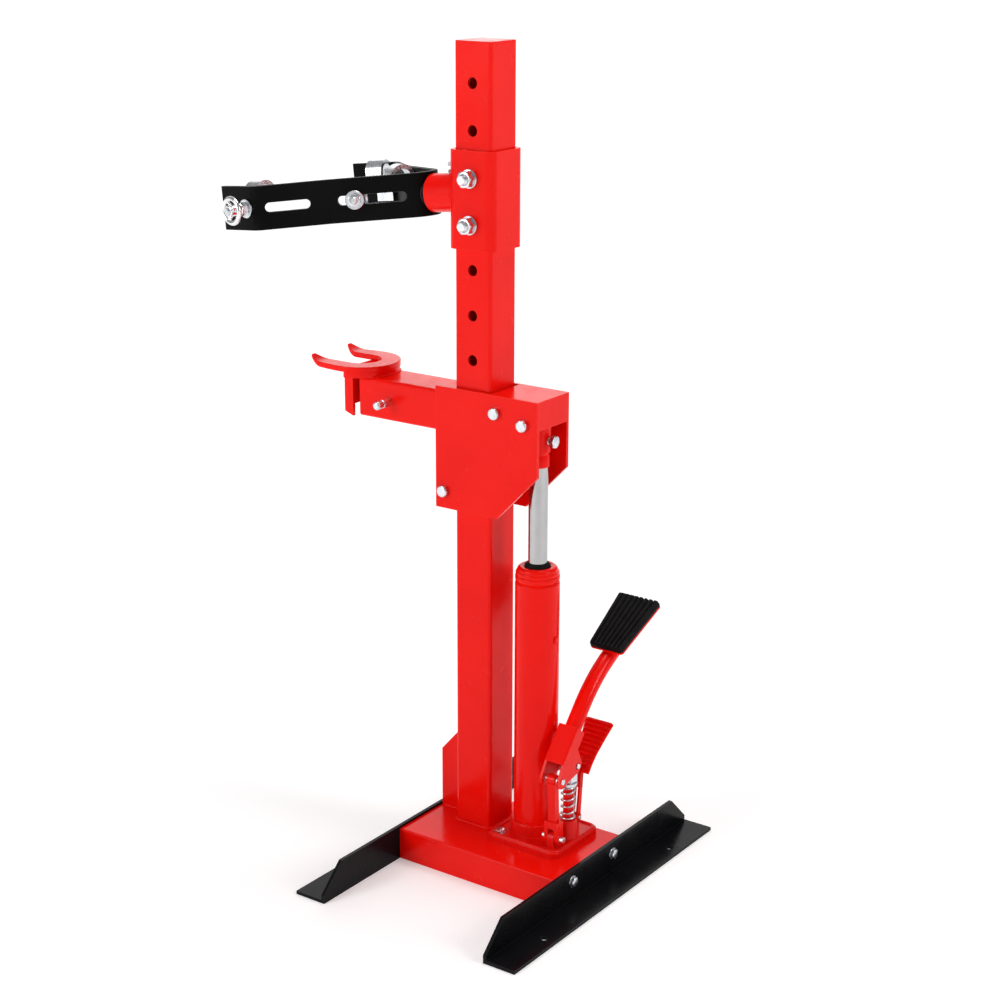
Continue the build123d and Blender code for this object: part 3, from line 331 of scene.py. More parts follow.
def add_thread(shape, place, radius, length, pitch):
    """Threaded shank along the place's Z, with a chamfered end."""
    depth_share, end_slope = 0.55, 1.3
    depth = pitch * depth_share
    per_turn = 6
    count = max(int(length / pitch * per_turn), 2)
    profile = []

    def crest(height, limit):
        return lambda turn: min(radius - depth * abs((height / pitch - turn / TURN) % 1 * 2 - 1),
                                limit)

    for i in range(count + 1):
        height = length * i / count
        limit = min(radius, radius - depth * end_slope + (length - height))
        profile.append((crest(height, limit), height))
    shape.turned(place, profile, steps=36)


def add_pin(shape, place, radius, length, dome):
    """Plain pin with softly domed ends."""
    steps = 5
    turns = [math.radians(90 * i / steps) for i in range(steps + 1)]
    low = [(radius - dome + dome * math.sin(t), dome - dome * math.cos(t)) for t in turns]
    high = [(r, length - h) for r, h in reversed(low)]
    flat = radius * 0.3
    shape.turned(place, [(flat, 0), *low, *high, (flat, length)], steps=48)


# =================== materials ===================
def new_material(name):
    """Empty principled material: the material, its node tree and its shader."""
    material = bpy.data.materials.new(name)
    material.use_nodes = True
    tree = material.node_tree
    return material, tree, tree.nodes["Principled BSDF"]


def object_place(tree, stretch=(1, 1, 1)):
    """Coordinates on the object in metres, stretched along each axis."""
    coordinates = tree.nodes.new("ShaderNodeTexCoord")
    mapping = tree.nodes.new("ShaderNodeMapping")
    mapping.inputs["Scale"].default_value = stretch
    tree.links.new(coordinates.outputs["Object"], mapping.inputs["Vector"])
    return mapping.outputs["Vector"]


def noise_map(tree, scale, detail=3.0, rough=0.5, stretch=(1, 1, 1)):
    """Noise with this many waves to the metre."""
    texture = tree.nodes.new("ShaderNodeTexNoise")
    texture.inputs["Scale"].default_value = scale
    texture.inputs["Detail"].default_value = detail
    texture.inputs["Roughness"].default_value = rough
    tree.links.new(object_place(tree, stretch), texture.inputs["Vector"])
    return texture.outputs["Fac"]


def spread(tree, value, low, high, start=0.3, end=0.7):
    """Maps a value between start and end to low and high."""
    node = tree.nodes.new("ShaderNodeMapRange")
    limits = (("From Min", start), ("From Max", end), ("To Min", low), ("To Max", high))
    for name, number in limits:
        node.inputs[name].default_value = number
    tree.links.new(value, node.inputs["Value"])
    return node.outputs["Result"]


def colour_between(tree, factor, low, high):
    """Colour that goes from low to high with the factor; low may be a socket."""
    node = tree.nodes.new("ShaderNodeMix")
    node.data_type = "RGBA"
    colour_a, colour_b, result = 6, 7, 2
    tree.links.new(factor, node.inputs[0])
    for socket, colour in ((node.inputs[colour_a], low), (node.inputs[colour_b], high)):
        if isinstance(colour, tuple):
            socket.default_value = (*colour, 1)
        else:
            tree.links.new(colour, socket)
    return node.outputs[result]


def edge_mask(tree, radius):
    """1 on edges and 0 on flats, from how far the rounded normal leans from the true one."""
    rounded = tree.nodes.new("ShaderNodeBevel")
    rounded.samples = 6
    rounded.inputs["Radius"].default_value = radius
    geometry = tree.nodes.new("ShaderNodeNewGeometry")
    lean = tree.nodes.new("ShaderNodeVectorMath")
    lean.operation = "DOT_PRODUCT"
    tree.links.new(rounded.outputs["Normal"], lean.inputs[0])
    tree.links.new(geometry.outputs["Normal"], lean.inputs[1])
    full_edge, flat_face = 0.8, 0.985
    return spread(tree, lean.outputs["Value"], 1.0, 0.0, full_edge, flat_face)


def bump(tree, shader, layers):
    """Adds layers of (height, strength, depth) to the shader's normal."""
    normal = None
    for height, strength, depth in layers:
        node = tree.nodes.new("ShaderNodeBump")
        node.inputs["Strength"].default_value = strength
        node.inputs["Distance"].default_value = depth
        tree.links.new(height, node.inputs["Height"])
        if normal is not None:
            tree.links.new(normal, node.inputs["Normal"])
        normal = node.outputs["Normal"]
    tree.links.new(normal, shader.inputs["Normal"])


def paint(name, deep, bright, edge, roughness, gloss, coat, grain, grain_depth):
    """Enamel or powder coat: slight colour drift, a painted highlight that lightens every edge,
    and its own grain.
    """
    drift_scale, polish_scale, ripple_scale = 7.0, 40.0, 90.0
    ripple_depth, grain_height = 0.4 * mm, 0.15 * mm
    edge_width = 1.2 * mm
    material, tree, shader = new_material(name)
    drift = colour_between(tree, spread(tree, noise_map(tree, drift_scale), 0, 1), deep, bright)
    # Painted highlight: the bevel mask moves the colour towards the lighter edge colour along
    # every edge, standing in for glints of light there.
    with_edge_highlight = colour_between(tree, edge_mask(tree, edge_width), drift, edge)
    tree.links.new(with_edge_highlight, shader.inputs["Base Color"])
    tree.links.new(spread(tree, noise_map(tree, polish_scale), *roughness),
                   shader.inputs["Roughness"])
    shader.inputs["Coat Weight"].default_value = coat
    shader.inputs["Coat Roughness"].default_value = 0.05
    shader.inputs["Specular IOR Level"].default_value = gloss
    bump(tree, shader, [(noise_map(tree, ripple_scale, 2.0), 0.04, ripple_depth),
                        (noise_map(tree, grain, 2.0), grain_depth, grain_height)])
    return material


def metal(name, low, high, roughness, cloud, grain, stretch=(1, 1, 1), grain_depth=0.1):
    """Bare or plated metal: cloudy tone, uneven polish and fine machining lines."""
    line_height = 0.05 * mm
    material, tree, shader = new_material(name)
    shader.inputs["Metallic"].default_value = 1.0
    tone = spread(tree, noise_map(tree, cloud, 4.0, 0.6), 0, 1)
    tree.links.new(colour_between(tree, tone, low, high), shader.inputs["Base Color"])
    tree.links.new(spread(tree, noise_map(tree, grain / 3, 3.0, 0.6, stretch), *roughness),
                   shader.inputs["Roughness"])
    bump(tree, shader, [(noise_map(tree, grain, 2.0, 0.5, stretch), grain_depth, line_height)])
    return material


def rubber_material(name):
    """Moulded black rubber with a matt, slightly dusty skin."""
    clean, dusty = (0.004, 0.004, 0.005), (0.010, 0.010, 0.011)
    dust_scale, polish_scale, grain_scale = 60.0, 150.0, 1500.0
    grain_height = 0.12 * mm
    material, tree, shader = new_material(name)
    dust = spread(tree, noise_map(tree, dust_scale, 5.0, 0.7), 0, 1)
    tree.links.new(colour_between(tree, dust, clean, dusty), shader.inputs["Base Color"])
    shader.inputs["Specular IOR Level"].default_value = 0.08
    tree.links.new(spread(tree, noise_map(tree, polish_scale), 0.5, 0.68),
                   shader.inputs["Roughness"])
    bump(tree, shader, [(noise_map(tree, grain_scale, 3.0), 0.25, grain_height)])
    return material


# The edge colour of each paint is a painted highlight laid along its edges, lighter than the
# paint itself.
red = paint("red_enamel", deep=(0.84, 0.003, 0.001), bright=(0.94, 0.006, 0.002),
            edge=(0.97, 0.04, 0.02), roughness=(0.16, 0.28), gloss=0.12, coat=0.05,
            grain=420.0, grain_depth=0.05)
red_cast = paint("red_enamel_cast", deep=(0.74, 0.003, 0.001), bright=(0.88, 0.006, 0.003),
                 edge=(0.95, 0.04, 0.02), roughness=(0.24, 0.38), gloss=0.18, coat=0.05,
                 grain=700.0, grain_depth=0.30)
black = paint("black_enamel", deep=(0.004, 0.004, 0.005), bright=(0.008, 0.008, 0.009),
              edge=(0.03, 0.03, 0.032), roughness=(0.18, 0.30), gloss=0.07, coat=0.02,
              grain=500.0, grain_depth=0.06)
black_texture = paint("black_powder_coat", deep=(0.003, 0.003, 0.003),
                      bright=(0.006, 0.006, 0.006), edge=(0.10, 0.10, 0.10),
                      roughness=(0.34, 0.46), gloss=0.04, coat=0.0,
                      grain=1100.0, grain_depth=0.65)
zinc = metal("zinc_plate", low=(0.60, 0.63, 0.68), high=(0.84, 0.85, 0.86),
             roughness=(0.20, 0.38), cloud=110.0, grain=900.0)
steel = metal("ground_steel", low=(0.40, 0.39, 0.39), high=(0.56, 0.55, 0.55),
              roughness=(0.10, 0.20), cloud=9.0, grain=500.0, stretch=(0.3, 0.3, 14.0),
              grain_depth=0.15)
chrome = metal("chrome", low=(0.80, 0.81, 0.83), high=(0.92, 0.92, 0.93),
               roughness=(0.08, 0.16), cloud=60.0, grain=400.0)
rubber = rubber_material("black_rubber")


def coat_node(node, material, rounding=0.0):
    """Gives a CAD node its material and, where asked, softly rounded edges."""
    piece = nodes[node]
    piece.data.materials.clear()
    piece.data.materials.append(material)
    if rounding:
        round_edges(piece, rounding, segments=2)


# =================== carried-over CAD nodes ===================
# Every node that isn't named below is red, or is hidden behind the piece that replaces it.
for node in nodes:
    coat_node(node, red)
for node, rounding in (("base_channel", 1.0), ("column_gusset", 0.8), ("sleeve", 0.6),
                       ("sleeve_stub", 0.8), ("carriage_plate_front", 0.6),
                       ("carriage_plate_rear", 0.6), ("carriage_cap", 0.8), ("lower_arm", 0.5),
                       ("fork_bracket", 0.8), ("pedal_tread_plate", 0.6), ("pump_link", 1.2)):
    coat_node(node, red, rounding * mm)
for node in ("foot_angle_left", "foot_angle_right"):
    coat_node(node, black, 0.7 * mm)
coat_node("jaw_yoke", black_texture, 0.9 * mm)
coat_node("jaw_shaft", black_texture)
for node in ("ram_rod", "ram_piston", "ram_cylinder", "roller_upper", "roller_lower"):
    coat_node(node, steel)
# Painted reflection: the plunger takes the dark cast red paint, standing for the red paint
# reflected in its steel.
coat_node("plunger", red_cast)
coat_node("pump_base", red_cast, 1.0 * mm)
coat_node("plunger_clevis", zinc, 0.8 * mm)
for node in ("hook_inner_front", "hook_inner_rear", "hook_outer_front", "hook_outer_rear"):
    coat_node(node, zinc, 0.7 * mm)
coat_node("release_valve", zinc)


# =================== fasteners on the frame ===================
def build_foot_fasteners():
    """Hex bolts with washers through the feet, and their nuts inside the base."""
    bolts = Shape()
    nuts = Shape()
    head_reach = span("foot_bolts", X)[1]
    nut_reach = span("foot_nuts", X)[1]
    for side in (-1, 1):
        for place_y in (-foot_bolt_spacing / 2, foot_bolt_spacing / 2):
            seat = Vector((side * (head_reach - foot_bolt_head), place_y, foot_bolt_height))
            add_washer(bolts, placed(seat, X * side), foot_washer_radius, foot_bolt_radius,
                       thin_washer)
            add_head(bolts, placed(seat + X * side * thin_washer, X * side), foot_bolt_across,
                     foot_bolt_head - thin_washer)
            add_thread(bolts, placed(seat, X * -side), foot_bolt_radius, foot_bolt_length,
                       foot_bolt_pitch)
            nut_seat = Vector((side * nut_reach, place_y, foot_bolt_height))
            add_nut(nuts, placed(nut_seat, X * -side), foot_bolt_across, foot_nut_height,
                    foot_bolt_radius)
    bolts.done("foot_bolt_set", zinc, "frame", ["foot_bolts"])
    nuts.done("foot_nut_set", zinc, "frame", ["foot_nuts"])


def build_sleeve_fasteners():
    """Two through bolts that hold the sleeve, their nuts on its front face."""
    bolts = Shape()
    nuts = Shape()
    centre_x = middle("sleeve_nuts", X)
    low, high = span("sleeve_nuts", Z)
    front_face = span("sleeve_nuts", Y)[1]
    tail_end, head_end = span("sleeve_bolts", Y)
    nut_seat = front_face - washer_thickness
    head_seat = head_end - sleeve_bolt_head
    thread_start = nut_seat + 2 * mm
    washer_play = 0.2 * mm
    nut_turn = Vector((0.4, 0, 1))
    for height in (low + washer_radius, high - washer_radius):
        add_washer(nuts, placed(Vector((centre_x, front_face, height)), -Y), washer_radius,
                   sleeve_bolt_radius + washer_play, washer_thickness)
        add_nut(nuts, placed(Vector((centre_x, nut_seat, height)), -Y, nut_turn),
                sleeve_bolt_across, sleeve_nut_height, sleeve_bolt_radius)
        add_thread(bolts, placed(Vector((centre_x, thread_start, height)), -Y),
                   sleeve_bolt_radius, thread_start - tail_end, sleeve_bolt_pitch)
        seat = Vector((centre_x, head_seat, height))
        bolts.turned(placed(seat, -Y), [(sleeve_bolt_radius, 0),
                                        (sleeve_bolt_radius, head_seat - thread_start)])
        add_head(bolts, placed(seat, Y), sleeve_bolt_across, sleeve_bolt_head)
    bolts.done("sleeve_bolt_set", zinc, "frame", ["sleeve_bolts"])
    nuts.done("sleeve_nut_set", zinc, "frame", ["sleeve_nuts"])


def build_lock_screw():
    """Screw and lock nut on top of the jaw's stub."""
    axis_out = Vector(joints["jaw_swivel"]["axis"])
    up = Vector((axis_out.z, 0, -axis_out.x)).normalized()
    low, high = span("jaw_lock_screw", up)
    origin = (axis_out * middle("jaw_lock_screw", axis_out) + Y * middle("jaw_lock_screw", Y)
              + up * low)
    length = high - low
    stub_top = span("sleeve_stub", up)[1] - low
    into_head = 2 * mm
    screw = Shape()
    add_thread(screw, placed(origin, up), clamp_radius, length - lock_head_height + into_head,
               clamp_pitch)
    add_head(screw, placed(origin + up * (length - lock_head_height), up), hook_nut_across,
             lock_head_height)
    add_nut(screw, placed(origin + up * stub_top, up), hook_nut_across, lock_nut_height,
            clamp_radius)
    screw.done("jaw_lock_screw_detail", zinc, "frame", ["jaw_lock_screw"])


def build_pump_screws():
    """Cap screws with washers that hold the pump down."""
    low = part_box("pump_screws")[0].z
    seat = span("pump_screws", Z)[1] - pump_screw_head
    column_x, column_y = middle("column_tube", X), middle("column_tube", Y)
    screws = Shape()
    for x, y in pump_screw_places:
        place = Vector((column_x + x, column_y + y, seat))
        add_washer(screws, placed(place, Z), pump_washer_radius, pump_screw_radius, thin_washer)
        add_head(screws, placed(place + Z * thin_washer, Z), pump_screw_across,
                 pump_screw_head - thin_washer)
        screws.turned(placed(Vector((place.x, place.y, low)), Z),
                      [(pump_screw_radius, 0), (pump_screw_radius, seat - low)])
    screws.done("pump_screw_set", zinc, "frame", ["pump_screws"])


def build_pump_pins():
    """Cross pins of the pump: link foot, release pedal, pedal pivot and plunger."""
    sets = [("pump_base_pins", "frame", [(Vector(joints["link_rock"]["pos_m"]), *link_pin),
                                         (Vector(joints["release_pedal_press"]["pos_m"]),
                                          *release_pin)])]
    for node, body in (("pedal_pivot_pin", "pump_link"), ("plunger_pin", "plunger")):
        sets.append((node, body, [(centre_of(node), half_width(node, Z),
                                   2 * half_width(node, X))]))
    for node, body, places in sets:
        pins = Shape()
        for centre, radius, length in places:
            add_pin(pins, placed(centre - X * length / 2, X), radius, length, pin_dome)
        pins.done(node + "_detail", zinc, body, [node])


# =================== reservoir and ram ===================
def build_reservoir():
    """Reservoir tube with its rolled shoulder, gland nut, wiper and filler plug."""
    centre = Vector((middle("ram_rod", X), middle("ram_rod", Y), 0))
    low, high = span("reservoir_tube", Z)
    flange_top = span("gland_nut", Z)[1]
    wiper_top = span("wiper_seal", Z)[1]
    radius = half_width("reservoir_tube", X)
    bore = half_width("ram_rod", X) + 0.1 * mm
    inside = radius - reservoir_wall
    seal_base = flange_top - 1 * mm

    tube = Shape()
    shoulder = arc((radius - 3 * mm, high - 17 * mm), 3 * mm, 0, 75, 5)
    rim = arc((radius - 2.5 * mm, high - 6.5 * mm), 2.5 * mm, 0, 90, 5)
    tube.turned(placed(centre, Z),
                [(inside, low), (radius, low), *shoulder,
                 *offsets(radius, high, (-1.4, -12.5), (-0.2, -11)), *rim,
                 (inside, high - 4 * mm)], steps=96, looped=True)
    tube.done("reservoir_shell", red, "frame", ["reservoir_tube"], smooth=50)

    gland = Shape()
    crown = arc((radius - 8 * mm, flange_top - 5 * mm), 5 * mm, 0, 90, 6)
    gland.turned(placed(centre, Z),
                 [(bore, high - 22 * mm), *offsets(inside, high, (0, -22), (0, -5)),
                  *offsets(radius, high, (-1, -4), (-0.6, -1), (-1.4, 1), (-3, 1.5)), *crown,
                  *offsets(bore, flange_top, (6, 0), (5, -1), (0, -1))], steps=96, looped=True)
    gland.done("gland_nut_detail", red, "frame", ["gland_nut"], smooth=50)

    wiper = Shape()
    wiper.turned(placed(centre, Z),
                 [*offsets(bore, seal_base, (0, 0), (4.6, 0), (4.6, 2), (3.4, 4)),
                  *offsets(bore, wiper_top, (1.6, 0), (0, 0))], steps=72, looped=True)
    wiper.done("wiper_seal_detail", rubber, "frame", ["wiper_seal"])

    plug_start, plug_end = span("filler_plug", X)
    plug_at = Vector((plug_start, middle("filler_plug", Y), middle("filler_plug", Z)))
    length = plug_end - plug_start
    face = arc((3.4 * mm, length - 1.4 * mm), 1.4 * mm, 0, 90, 4)
    plug = Shape()
    plug.turned(placed(plug_at, X), [(5 * mm, 0), (5 * mm, length - 1.6 * mm), *face,
                                     (1.2 * mm, length)], steps=40)
    plug.done("filler_plug_detail", red, "frame", ["filler_plug"])


def build_ram_head():
    """Forged ram head with a waist, and its hex clamp screw."""
    centre = Vector((middle("ram_rod", X), middle("ram_rod", Y), 0))
    low, high = span("ram_head", Z)
    radius = half_width("ram_head", X)
    rod = half_width("ram_rod", X)
    neck = radius - 1.5 * mm
    crown = arc((radius - 3 * mm, high - 3 * mm), 3 * mm, 0, 90, 5)
    ring = arc((neck - 1.2 * mm, low + 1.2 * mm), 1.2 * mm, -90, 0, 4)
    head = Shape()
    head.turned(placed(centre, Z),
                [(rod, low), *ring, *offsets(neck, low, (0, 15), (-1, 17), (-1, 18.5)),
                 *offsets(radius, low, (-1, 20), (0, 22)), *crown, (rod * 0.5, high)], steps=72)
    head.done("ram_head_detail", red, "carriage", ["ram_head"], smooth=45)

    start, end = span("ram_clamp_bolt", X)
    tail = Vector((start, middle("ram_clamp_bolt", Y), middle("ram_clamp_bolt", Z)))
    into_head = 1.5 * mm
    bolt = Shape()
    add_thread(bolt, placed(tail, X), clamp_radius, end - start - clamp_head_height + into_head,
               clamp_pitch)
    add_head(bolt, placed(tail + X * (end - start - clamp_head_height), X), hook_nut_across,
             clamp_head_height)
    bolt.done("ram_clamp_bolt_detail", zinc, "carriage", ["ram_clamp_bolt"])


# =================== carriage and fork ===================
def build_carriage_pins():
    """Headed axles of both rollers and the ram, domed heads to the front."""
    near, far = span("carriage_pins", Y)
    plate_near = span("carriage_plate_front", Y)[0]
    reach = plate_near - near
    dome = arc((6.1 * mm, reach - 2.4 * mm), 2.4 * mm, 0, 78, 6)
    places = [(middle("ram_rod", X), ram_pin_height)]
    for joint in ("roller_upper_spin", "roller_lower_spin"):
        x, _, z = joints[joint]["pos_m"]
        places.append((x, z))
    pins = Shape()
    for x, z in places:
        seat = Vector((x, plate_near, z))
        add_pin(pins, placed(seat, Y), axle_radius, far - plate_near, 1.5 * mm)
        pins.turned(placed(seat, -Y), [(axle_head_radius, 0),
                                       (axle_head_radius, reach - 2.4 * mm), *dome,
                                       (2 * mm, reach)], steps=64)
    pins.done("carriage_pin_set", zinc, "carriage", ["carriage_pins"])


def build_cross_pin():
    """Cross pin of the lower arm, with rounded ends and a retaining groove."""
    low, high = span("arm_cross_pin", Y)
    place = Vector((middle("arm_cross_pin", X), low, middle("arm_cross_pin", Z)))
    length = high - low
    rounding = cross_pin_radius / 2
    nose = arc((rounding, rounding), rounding, 270, 360, 5)
    tail = [(r, length - h) for r, h in reversed(nose)]
    groove = offsets(cross_pin_radius, 0, (0, 12), (-0.8, 12.4), (-0.8, 13.8), (0, 14.2))
    pin = Shape()
    pin.turned(placed(place, Y), [*nose, (cross_pin_radius, 6 * mm), *groove,
                                  (cross_pin_radius, length - 5 * mm), *tail], steps=48)
    pin.done("arm_cross_pin_detail", zinc, "carriage", ["arm_cross_pin"])


def build_fork():
    """Horseshoe fork of plate, its prong tips drawn down and bent up."""
    low, high = span("lower_fork", Z)
    left, right = span("lower_fork", X)
    outer = half_width("lower_fork", Y)
    centre_x = right - outer
    centre_y = middle("lower_fork", Y)
    bend_x = left + fork_tip_run
    tip_x = left + 2.5 * mm
    tip_steps, straight_steps, curve_steps = 7, 6, 36
    tip_rise = high - low - fork_plate * 0.75
    prong_outer = outer * 0.93

    # One prong from its tip to the curve: place, middle, half width, rise and thickness.
    prong = []
    for i in range(tip_steps + 1):
        share = i / tip_steps
        narrow = math.sin(math.radians(20 + 70 * share))
        prong.append((tip_x + (bend_x - tip_x) * share,
                      (fork_slot_half + prong_outer) / 2 + 1.5 * mm * (1 - share),
                      narrow * (prong_outer - fork_slot_half) / 2,
                      tip_rise * (1 - share) ** 1.6,
                      fork_plate * (0.62 + 0.38 * share)))
    for i in range(1, straight_steps):
        share = i / straight_steps
        reach = prong_outer + (outer - prong_outer) * math.sin(math.radians(90 * share))
        prong.append((bend_x + (centre_x - bend_x) * share, (fork_slot_half + reach) / 2,
                      (reach - fork_slot_half) / 2, 0, fork_plate))

    def section(x, y, across, half, rise, thick):
        """Four corners of a cross section, across pointing to the fork's outer side."""
        middle_point = Vector((x, y, low + rise))
        outwards = Vector((across[0], across[1], 0))
        return [middle_point + outwards * side + Z * up
                for side, up in ((-half, 0), (half, 0), (half, thick), (-half, thick))]

    rows = [section(x, centre_y + y, (0, 1), half, rise, thick)
            for x, y, half, rise, thick in prong]
    for i in range(curve_steps + 1):
        turn = math.radians(90 - 180 * i / curve_steps)
        across = (math.cos(turn), math.sin(turn))
        reach = (fork_slot_half + outer) / 2
        rows.append(section(centre_x + across[0] * reach, centre_y + across[1] * reach, across,
                            (outer - fork_slot_half) / 2, 0, fork_plate))
    rows += [section(x, centre_y - y, (0, -1), half, rise, thick)
             for x, y, half, rise, thick in reversed(prong)]
    fork = Shape()
    fork.stack(rows)
    fork.done("lower_fork_plate", red, "carriage", ["lower_fork"], bevel=1.4 * mm, smooth=40)


# =================== welds ===================
def rounded_path(centre_x, centre_y, half_x, half_y, corner, height):
    """Closed level path round a rectangle with rounded corners."""
    path = []
    for side_x, side_y, start in ((1, 1, 0), (-1, 1, 90), (-1, -1, 180), (1, -1, 270)):
        corner_centre = (centre_x + side_x * (half_x - corner),
                         centre_y + side_y * (half_y - corner))
        path += [Vector((x, y, height))
                 for x, y in arc(corner_centre, corner, start, start + 90, 8)]
    return path


def finely(path, step, closed=False):
    """The same path with points no further apart than twice the step."""
    points = []
    ends = path[1:] + path[:1] if closed else path[1:]
    for start, end in zip(path, ends):
        count = max(int((end - start).length / step), 1)
        points += [start.lerp(end, i / count) for i in range(count)]
    return points if closed else points + [path[-1]]


def add_bead(shape, path, radius, closed=False):
    """Weld bead with the ripple of its passes."""
    points = finely(path, 1.3 * mm, closed)
    pass_height, pass_rate = 0.10, 2.1
    drift_height, drift_scale = 0.22, 220

    def ripple(i):
        return radius * (1 + pass_height * math.sin(i * pass_rate)
                         + drift_height * noise.noise(points[i] * drift_scale))

    shape.tube(points, ripple, steps=8, closed=closed)


def build_frame_welds():
    """Beads round the column's foot and cap, the gusset and the jaw's stub."""
    centre = (middle("column_tube", X), middle("column_tube", Y))
    left = span("column_tube", X)[0]
    half = half_width("column_tube", X)
    foot, top = span("column_tube", Z)
    foot_bead, gusset_bead, cap_bead, stub_bead = 2.6 * mm, 2.0 * mm, 0.9 * mm, 2.6 * mm
    welds = Shape()
    around = half + 1 * mm
    add_bead(welds, rounded_path(*centre, around, around, 6 * mm, foot + 0.8 * mm), foot_bead,
             closed=True)
    nose = span("column_gusset", X)[0]
    gusset_top = span("column_gusset", Z)[1]
    for side in span("column_gusset", Y):
        add_bead(welds, [Vector((left - 0.4 * mm, side, gusset_top - 3 * mm)),
                         Vector((left - 0.4 * mm, side, foot + 1 * mm)),
                         Vector((nose + 3 * mm, side, foot + 0.6 * mm))], gusset_bead)
    around = half - 0.7 * mm
    add_bead(welds, rounded_path(*centre, around, around, 5 * mm, top), cap_bead, closed=True)
    welds.done("frame_welds", red, "frame", smooth=60)

    axis_out = Vector(joints["jaw_swivel"]["axis"])
    root = Vector(joints["jaw_swivel"]["pos_m"])
    place = placed(root, axis_out)
    radius = half_width("sleeve_stub", Y) + 0.6 * mm
    sleeve_face = root.x - 0.8 * mm
    path = []
    for x, y in arc((0, 0), radius, 0, 355, 71):
        point = place @ Vector((x, y, 0))
        path.append(point + axis_out * ((sleeve_face - point.x) / axis_out.x))
    stub = Shape()
    add_bead(stub, path, stub_bead, closed=True)
    stub.done("stub_weld", red, "frame", smooth=60)


def build_carriage_welds():
    """Beads where the arm meets the side plates and the fork meets the arm."""
    arm_bead, lower_hub_bead, upper_hub_bead = 1.8 * mm, 2.0 * mm, 1.2 * mm
    weld_x = span("carriage_plate_front", X)[0] - 0.4 * mm
    low, high = span("lower_arm", Z)
    welds = Shape()
    for side, face in zip((-1, 1), span("lower_arm", Y)):
        weld_y = face + side * 0.4 * mm
        add_bead(welds, [Vector((weld_x, weld_y, low + 5 * mm)),
                         Vector((weld_x, weld_y, high - 5 * mm))], arm_bead)
    hub = (span("lower_fork", X)[1] - fork_hub_from_end, middle("lower_fork", Y))
    lower = [Vector((x, y, high + 0.6 * mm)) for x, y in arc(hub, fork_hub_radius, -36, 36, 24)]
    add_bead(welds, lower, lower_hub_bead)
    upper = [Vector((x, y, high + fork_plate))
             for x, y in arc(hub, fork_hub_radius - 0.4 * mm, -80, 80, 40)]
    add_bead(welds, upper, upper_hub_bead)
    welds.done("carriage_welds", red, "carriage", smooth=60)


# =================== pump and pedals ===================
def build_pump_lip():
    """Raised rim round the pump casting's plate."""
    inset = 4.5 * mm
    rim_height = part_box("pump_base")[0].z + pump_plate_height - 0.6 * mm
    path = rounded_path(middle("pump_base", X), middle("pump_base", Y),
                        half_width("pump_base", X) - inset, half_width("pump_base", Y) - inset,
                        9 * mm, rim_height)
    rim = Shape()
    rim.tube(finely(path, 3 * mm, True), 3.2 * mm, steps=14, closed=True)
    rim.done("pump_base_rim", red_cast, "frame", smooth=60)


def build_pad():
    """Rubber tread pad with lengthwise ribs, flared to its far end."""
    along = Vector((0, math.cos(tread_angle), math.sin(tread_angle)))
    normal = Vector((0, -math.sin(tread_angle), math.cos(tread_angle)))
    low, high = span("pedal_pad", normal)
    start, end = span("pedal_pad", along)
    length = end - start
    thick = high - low
    origin = X * middle("pedal_pad", X) + along * start + normal * low
    corner = 5 * mm
    groove = 2.4 * mm
    groove_run_out = 5 * mm
    groove_start, groove_slope = 0.52, 0.22
    end_rounding, side_rounding = 1.6 * mm, 1.2 * mm
    across_steps = pad_ribs * 8
    along_steps = 60
    rows = []
    for i in range(along_steps + 1):
        v = length * i / along_steps
        near_end = min(v, length - v)
        inset = 0.0
        if near_end < corner:
            inset = corner - math.sqrt(corner ** 2 - (corner - near_end) ** 2)
        half = (pad_low_width + (pad_high_width - pad_low_width) * v / length) / 2 - inset
        drop = max(0.0, end_rounding - near_end)
        row = [(half, 0), (-half, 0)]
        for j in range(across_steps + 1):
            u = -1 + 2 * j / across_steps
            wave = abs((u * pad_ribs / 2) % 1 * 2 - 1)
            cut = groove * min(1, max(0, (wave - groove_start) / groove_slope))
            if near_end < groove_run_out and v < length / 2:
                cut *= near_end / groove_run_out
            side_drop = max(0.0, side_rounding - half * (1 - abs(u)))
            row.append((half * u, thick - cut - drop - side_drop))
        rows.append([origin + X * x + normal * z + along * v for x, z in row])
    pad = Shape()
    pad.stack(rows)
    pad.done("ribbed_pad", rubber, "pump_pedal", ["pedal_pad"], smooth=32)


